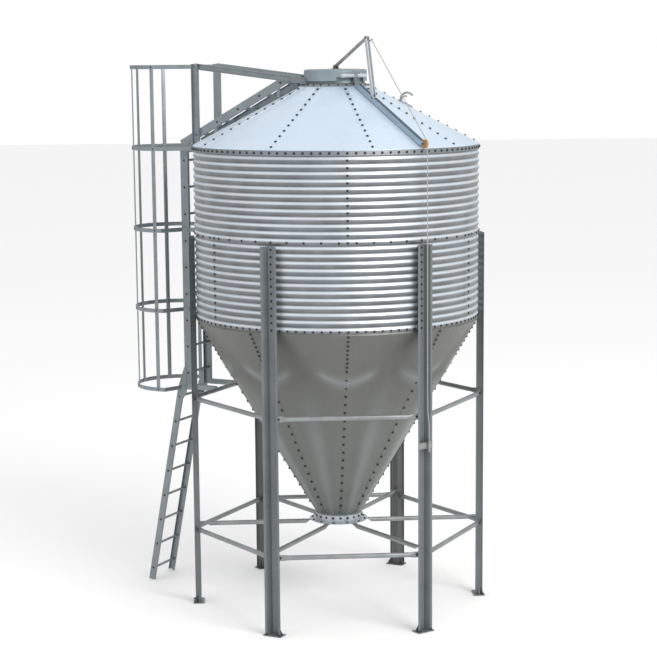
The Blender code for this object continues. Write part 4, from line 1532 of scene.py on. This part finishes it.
@dataclass
class Opener:
    """The lever, link, pulley and rope that lift the lid from the ground.

    Attributes:
        maker: The shared maker.
        apex: Upper pin of the lever as (radius, height).
        pivot: Lower pin of the lever.
        wheel: Axle of the pulley.
        wheel_r: Radius of the pulley.
        rope_r: Radius of the rope.
        cleat: Where the rope is tied as (radius, height).
        throw: Degrees that the lever turns as the lid opens fully; not used.
    """

    maker: Maker
    apex: Pair = (0.515, 5.525)
    pivot: Pair = (0.620, 4.968)
    wheel: Pair = (1.400, 4.566)
    wheel_r: float = 0.040
    rope_r: float = 0.005
    cleat: Pair = (1.462, 1.790)
    throw: float = 29.97

    def build(self) -> None:
        """Builds the pulley, the rope and the pins' heads."""
        side = around(OPENER_AZ)
        turn = spot(OPENER_AZ, *self.wheel) @ UPRIGHT
        r = self.wheel_r
        line = [(0.0070, 0.0100), (0.0135, 0.0100), (0.0150, 0.0080), (r - 0.010, 0.0075),
                (r - 0.006, 0.0098), (r - 0.0015, 0.0098), (r, 0.0088), (r - 0.0065, 0.0035),
                (r - 0.008, 0.0), (r - 0.0065, -0.0035), (r, -0.0088), (r - 0.0015, -0.0098),
                (r - 0.006, -0.0098), (r - 0.010, -0.0075), (0.0150, -0.0080),
                (0.0135, -0.0100), (0.0070, -0.0100)]
        wheel = spun("rope_pulley", line, turn, 360.0, 48, closed=True)
        self.maker.keep(shade(wheel), self.maker.finishes.pulley, Slot.PULLEY, Body.PULLEY,
                        instead_of=["pulley"])
        self.build_rope(side)
        right = Matrix.Rotation(-math.pi / 2, 4, "X")

        def heads(pins: Sequence[Pair], reach: float) -> list[Matrix]:
            """Seats of the two heads of each pin."""
            return [spot(OPENER_AZ, rho, z, along) @ turn for rho, z in pins
                    for along, turn in ((reach, right), (-reach, UPRIGHT))]

        self.maker.bolts("lever_pins", heads((self.apex, self.pivot), 0.019), Slot.OPENER,
                         Body.LEVER)
        self.maker.bolts("pulley_pin", heads((self.wheel,), 0.028), Slot.OPENER)

    def build_rope(self, side: Matrix) -> None:
        """Lays the rope from the lever over the pulley down to the cleat.

        Args:
            side: Frame of the opener's plane.
        """
        tip = Vector((self.apex[0] + 0.068, self.apex[1] - 0.016))
        wheel = Vector(self.wheel)
        reach = self.wheel_r - 0.008 + self.rope_r + 0.0003
        run = tip - wheel
        lean = math.atan2(run.y, run.x) - math.acos(reach / run.length)
        touch = wheel + Vector((math.cos(lean), math.sin(lean))) * reach
        way = (touch - tip).normalized()
        first = tip + way * 0.012
        upper = [first.lerp(touch, k / 40) for k in range(41)]
        lower = [wheel + Vector((math.cos(lean * (1 - k / 8)), math.sin(lean * (1 - k / 8))))
                 * reach for k in range(9)]
        out = wheel.x + reach
        lower += [Vector((out, 4.5 - 0.2 * k)) for k in range(12)]
        lower += [Vector((out + 0.004, 2.1)), Vector((self.cleat[0], self.cleat[1] + 0.20)),
                  Vector((self.cleat[0], self.cleat[1] + 0.061))]
        pull = self.laid("pull_line", upper, side)
        self.maker.keep(pull, self.maker.finishes.rope, Slot.ROPE, instead_of=["pull_rope"])
        self.draw_in(pull)
        fall = self.laid("rope_to_cleat", lower, side)
        self.maker.keep(fall, self.maker.finishes.rope, Slot.ROPE, instead_of=["rope_fall"])

    def draw_in(self, rope: bpy.types.Object) -> None:
        """Gives the upper rope a mesh of its own.

        Args:
            rope: The rope from the lever to the pulley.
        """
        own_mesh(rope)

    def laid(self, name: str, path: Sequence[Vector], side: Matrix) -> bpy.types.Object:
        """A rope of three twisted strands along a path.

        Args:
            name: The piece's name.
            path: Points as (radius, height) of the opener's plane.
            side: Frame of that plane.

        Returns:
            The rope.
        """
        strands = []
        pitch, strand = 0.045, self.rope_r * 0.5
        for s in range(3):
            points = []
            done = 0.0
            for a, b in zip(path, path[1:]):
                run = b - a
                count = max(1, round(run.length / (pitch / 7)))
                normal = Vector((-run.y, run.x)).normalized()
                for i in range(count):
                    angle = 2 * math.pi * ((done + run.length * i / count) / pitch + s / 3)
                    flat = a + run * (i / count) + normal * (math.cos(angle) * strand)
                    points.append(side @ Vector((flat.x, math.sin(angle) * strand, flat.y)))
                done += run.length
            strands.append(drawn(name, points, dimensions="3D", bevel_depth=strand,
                                 bevel_resolution=1, use_fill_caps=True))
        whole = join(strands, name)
        weld(whole)
        return shade(whole, 70)


# ---------------------------------------------------------------- stand and ladders


@dataclass
class Stand:
    """The legs' tubes and bolts.

    Attributes:
        maker: The shared maker.
        tube_r: Radius of a brace.
        reach: Distance of the braces' ends from the axis.
        across: Their distance from the leg's middle.
        levels: Heights of the two rows of braces.
        strut_r: Distance of the struts' inner ends from the axis.
        strut_z: Height of the flange that the struts are bolted under.
        strut_rise: How far a strut's flat ends lie above its middle.
        tab: Distance of a tube's bolt from its end.
    """

    maker: Maker
    tube_r: float = 0.0225
    reach: float = 1.3783 + 0.0015 + 0.0275
    across: float = 0.0285 + 0.0275 * math.tan(math.radians(30.0))
    levels: Pair = (2.064, 0.752)
    strut_r: float = 0.2325
    strut_z: float = 0.819 - 0.0003
    strut_rise: float = 0.72 * 0.0225
    tab: float = 0.026

    def build(self) -> None:
        """Builds the braces, the outlet's struts and the bolts."""
        sides = list(LEGS.items())
        bolts = []
        for level, z in zip(("upper", "lower"), self.levels):
            for i, (side, azimuth) in enumerate(sides):
                other = sides[(i + 1) % 6][1]
                a = around(azimuth) @ Vector((self.reach, self.across, z))
                b = around(other) @ Vector((self.reach, -self.across, z))
                run = (b - a).normalized()
                a, b = a + run * 0.0022, b - run * 0.0022
                angle = math.atan2(run.y, run.x)
                place = Matrix.Translation(a) @ Matrix.Rotation(angle, 4, "Z")
                upright = place @ UPRIGHT
                tube = pressed_tube(f"{level}_tube_{side}", (b - a).length, self.tube_r, 0.055,
                                    0.0, upright)
                self.maker.keep(tube, self.maker.finishes.brace, Slot.BRACE,
                                instead_of=[f"{level}_brace_{side}"])
                for end in (self.tab, (b - a).length - self.tab):
                    bolts.append(upright @ Matrix.Translation((end, 0, 0.0060)))
                    bolts.append(upright @ Matrix.Translation((end, 0, -0.0060))
                                 @ Matrix.Rotation(math.pi, 4, "X"))
        length = SHELL_R - 0.0003 - self.strut_r
        for side, azimuth in LEGS.items():
            place = spot(azimuth, self.strut_r, self.strut_z - self.tube_r)
            strut = pressed_tube(f"strut_{side}", length, self.tube_r, 0.050, self.strut_rise,
                                 place)
            self.maker.keep(strut, self.maker.finishes.brace, Slot.BRACE,
                            instead_of=[f"outlet_strut_{side}"])
            for end in (0.028, length - self.tab):
                bolts.append(place @ Matrix.Translation((end, 0, self.strut_rise - 0.006))
                             @ Matrix.Rotation(math.pi, 4, "X"))
        self.maker.bolts("brace_bolts", bolts, Slot.BRACE)
        self.bolt_legs()

    def bolt_legs(self) -> None:
        """Sets the bolts of the legs into the wall and of the feet into the floor."""
        webs, feet = [], []
        for azimuth in LEGS.values():
            for k in range(12):
                webs.append(spot(azimuth, LEG_FACE, 3.625 - PITCH * k) @ leaning(0.0))
            for t in (-0.068, 0.068):
                feet.append(spot(azimuth, LEG_FACE + 0.055, 0.010, t) @ Matrix.Scale(1.5, 4))
        self.maker.bolts("leg_bolts", webs, Slot.BRACE)
        self.maker.bolts("foot_bolts", feet, Slot.BRACE)


@dataclass
class Climb:
    """The ladder's cage, smooth rungs and bolts.

    Attributes:
        maker: The shared maker.
        cage_rho: Distance of the cage's middle from the axis.
        cage_r: Radius of the cage.
        bar: Width and thickness of its flat bars.
        hoops: Heights of the hoops.
        rail_rho: Distance of the rails from the axis.
        rail_t: Half the distance between the rails.
        rung: Distance between two rungs.
        lean: How far the lower ladder stands out for each metre down.
        roof_rungs: Distances of the roof ladder's rungs from the axis.
    """

    maker: Maker
    cage_rho: float = 1.800
    cage_r: float = 0.430
    bar: Pair = (0.040, 0.005)
    hoops: tuple[float, ...] = (5.267, 4.470, 3.663, 2.861, 2.062)
    rail_rho: float = 1.577
    rail_t: float = 0.205
    rung: float = 0.267
    lean: float = 0.195
    roof_rungs: tuple[float, ...] = (1.428, 1.193, 0.958, 0.719, 0.489)

    def hoop_line(self, z: float) -> list[Pair]:
        """Middle line of a hoop, from one seat round to the other.

        Args:
            z: The hoop's height.

        Returns:
            Points as (radius, tangent).
        """
        rail_out = self.rail_t + 0.002
        thick = self.bar[1]
        if z > 4.0:
            out = rail_out + 0.0003 + 0.030 + 0.0003 + thick / 2
            seat = [(1.424 + 0.030, out), (1.424 + 0.060, 0.250)]
        elif z > 2.5:
            out = rail_out + 0.0003 + thick / 2
            seat = [(self.rail_rho - 0.030, out), (self.rail_rho + 0.036, out + 0.004)]
        else:
            out = rail_out + 0.0046 + thick / 2
            seat = [(self.rail_rho + 0.036, out), (self.rail_rho + 0.070, out + 0.006)]
        arc = [(self.cage_rho + self.cage_r * math.cos(math.radians(a)),
                self.cage_r * math.sin(math.radians(a))) for a in range(100, -101, -5)]
        return seat + arc + [(x, -y) for x, y in reversed(seat)]

    def build(self) -> None:
        """Builds the cage, the rungs' sleeves and the bolts."""
        side = around(LADDER_AZ)
        pieces = []
        for z in self.hoops:
            pieces.append(band("hoop", self.hoop_line(z), self.bar[1], self.bar[0],
                               side @ Matrix.Translation((0, 0, z))))
        bolts = []
        for a in (-90.0, -45.0, 0.0, 45.0, 90.0):
            place = (side @ Matrix.Translation((self.cage_rho, 0, 0))
                     @ Matrix.Rotation(math.radians(a), 4, "Z"))
            r = self.cage_r - self.bar[1] / 2
            pieces.append(block("upright", (r - 0.0058, -0.020, self.hoops[4] - 0.015),
                                (r - 0.0004, 0.020, self.hoops[0] + 0.015), place, 0.0012))
            for z in self.hoops:
                bolts.append(place @ Matrix.Translation((self.cage_r + 0.0026, 0, z))
                             @ leaning(0.0) @ Matrix.Scale(0.8, 4))
        self.maker.keep(shade(join(pieces, "safety_cage"), 40), self.maker.finishes.ladder,
                        Slot.LADDER, instead_of=["ladder_cage"])
        self.maker.bolts("cage_bolts", bolts, Slot.LADDER)
        self.build_rungs(side)

    def build_rungs(self, side: Matrix) -> None:
        """Builds round rungs over the faceted ones and their bolts in the rails.

        Args:
            side: Frame of the ladder's plane.
        """
        seats = [(self.rail_rho, 4.350 - self.rung * k) for k in range(9)]
        step = self.rung / math.sqrt(1 + self.lean ** 2)
        seats += [(1.687 + self.lean * step * k, 1.962 - step * k) for k in range(8)]
        seats += [(rho, 4.731 + 0.537 * (1.193 - rho)) for rho in self.roof_rungs]
        inside = self.rail_t - 0.0021
        rungs = [rod("rung", side @ Vector((rho, -inside, z)), side @ Vector((rho, inside, z)),
                     0.0125) for rho, z in seats]
        self.maker.keep(join(rungs, "rungs"), self.maker.finishes.ladder, Slot.LADDER)
        bolts = []
        for rho, z in seats:
            for s in (-1.0, 1.0):
                bolts.append(side @ Matrix.Translation((rho, s * (self.rail_t + 0.002), z))
                             @ Matrix.Rotation(-s * math.pi / 2, 4, "X"))
        self.maker.bolts("rung_bolts", bolts, Slot.LADDER)


# ---------------------------------------------------------------- studio


@dataclass
class Studio:
    """Floor, lights and the camera at the photograph's place.

    Attributes:
        eye: The camera's place in the world.
        heading: Degrees to the left of straight ahead, negative for left.
        pitch: Degrees down.
        roll: Degrees of roll.
        lens: Focal length for a 36 mm wide image.
        rise: Vertical shift of the image.
    """

    eye: Triple = (-1.33449 + AXIS_X, -18.18410, 5.297)
    heading: float = -3.9152
    pitch: float = 9.4313
    roll: float = -0.4846
    lens: float = 102.86
    rise: float = 0.0698

    def build(self) -> None:
        """Builds the stage."""
        self.build_camera()
        self.build_floor()
        self.build_light()

    def build_camera(self) -> None:
        """Places the camera."""
        h, p, r = (math.radians(v) for v in (self.heading, self.pitch, self.roll))
        ahead = Vector((-math.sin(h) * math.cos(p), math.cos(h) * math.cos(p), -math.sin(p)))
        right = ahead.cross(Vector((0, 0, 1))).normalized()
        up = right.cross(ahead)
        x = right * math.cos(r) + up * math.sin(r)
        y = up * math.cos(r) - right * math.sin(r)
        data = bpy.data.cameras.new("photo_camera")
        data.lens = self.lens
        data.sensor_width = 36.0
        data.shift_y = self.rise
        data.clip_end = 200.0
        camera = bpy.data.objects.new("photo_camera", data)
        bpy.context.scene.collection.objects.link(camera)
        turn = Matrix((x, y, -ahead)).transposed().to_4x4()
        camera.matrix_world = Matrix.Translation(self.eye) @ turn
        bpy.context.scene.camera = camera

    def build_floor(self) -> None:
        """Lays the pale floor."""
        bpy.ops.mesh.primitive_plane_add(size=160.0, location=(0, 30, -0.0005))
        floor = bpy.context.object
        floor.name = "floor"
        material, _, shader = new_material("pale floor")
        shader.inputs["Base Color"].default_value = (0.95, 0.95, 0.95, 1.0)
        shader.inputs["Roughness"].default_value = 0.9
        floor.data.materials.append(material)

    def build_light(self) -> None:
        """Lights the stage with a pale sky and large soft lamps."""
        scene = bpy.context.scene
        world = bpy.data.worlds.new("studio")
        scene.world = world
        world.use_nodes = True
        desk = Desk(world.node_tree)
        back = world.node_tree.nodes["Background"]
        where = desk.add("ShaderNodeTexCoord").outputs["Generated"]
        split = desk.add("ShaderNodeSeparateXYZ")
        desk.link(where, split.inputs[0])
        up = desk.stretch(split.outputs[2], 0.0, 0.55)
        sky = desk.blend(up, (0.60, 0.60, 0.60), (1.0, 1.0, 1.0))
        seen = desk.add("ShaderNodeLightPath").outputs["Is Camera Ray"]
        desk.link(desk.blend(seen, sky, (1.0, 1.0, 1.0)), back.inputs[0])
        back.inputs[1].default_value = 1.0
        for name, place, size, power, tone in (
                ("key", (9.0, -13.0, 14.0), 9.0, 1900.0, (1.0, 0.99, 0.97)),
                ("fill", (-14.0, -9.0, 9.0), 9.0, 150.0, (0.93, 0.96, 1.0))):
            data = bpy.data.lights.new(name, "AREA")
            data.energy = power
            data.size = size
            data.color = tone
            lamp = bpy.data.objects.new(name, data)
            scene.collection.objects.link(lamp)
            aim = Vector((0.2, 0, 2.8)) - Vector(place)
            lamp.matrix_world = (Matrix.Translation(place)
                                 @ aim.to_track_quat("-Z", "Y").to_matrix().to_4x4())
        scene.view_settings.view_transform = "Standard"


def main() -> None:
    """Builds everything in order."""
    logging.basicConfig(level=logging.INFO, format="%(name)s %(message)s")
    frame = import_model()
    Studio().build()
    finishes = Finishes()
    bolt = pattern_bolt()
    maker = Maker(finishes, bolt)
    Shell(maker).build()
    roof = Roof(maker)
    roof.build()
    Hopper(maker).build()
    Hatch(maker, roof).build()
    Opener(maker).build()
    Stand(maker).build()
    Climb(maker).build()
    maker.dress(frame, [f"leg_{side}" for side in LEGS if "rear" not in side], finishes.leg)
    # The rear legs take the darker copy of the leg zinc as painted shade.
    maker.dress(frame, ["leg_rear_left", "leg_rear_right"], finishes.shaded_rear_leg)
    maker.dress(frame, ["ladder", "lower_ladder", "bend_plate_near", "bend_plate_far",
                        "handrail_near", "handrail_far", "roof_ladder"], finishes.ladder)
    # The channel takes the bluish zinc as a painted sky reflection.
    maker.dress(frame, ["opener_channel"], finishes.channel)
    # The lever takes the lighter zinc as a painted highlight.
    maker.dress(frame, ["opener_lever"], finishes.bright)
    maker.dress(frame, ["opener_link", "rope_cleat"], finishes.bar)
    bpy.data.objects.remove(bolt)
    LOG.info("pieces done")


if __name__ == "__main__":
    main()
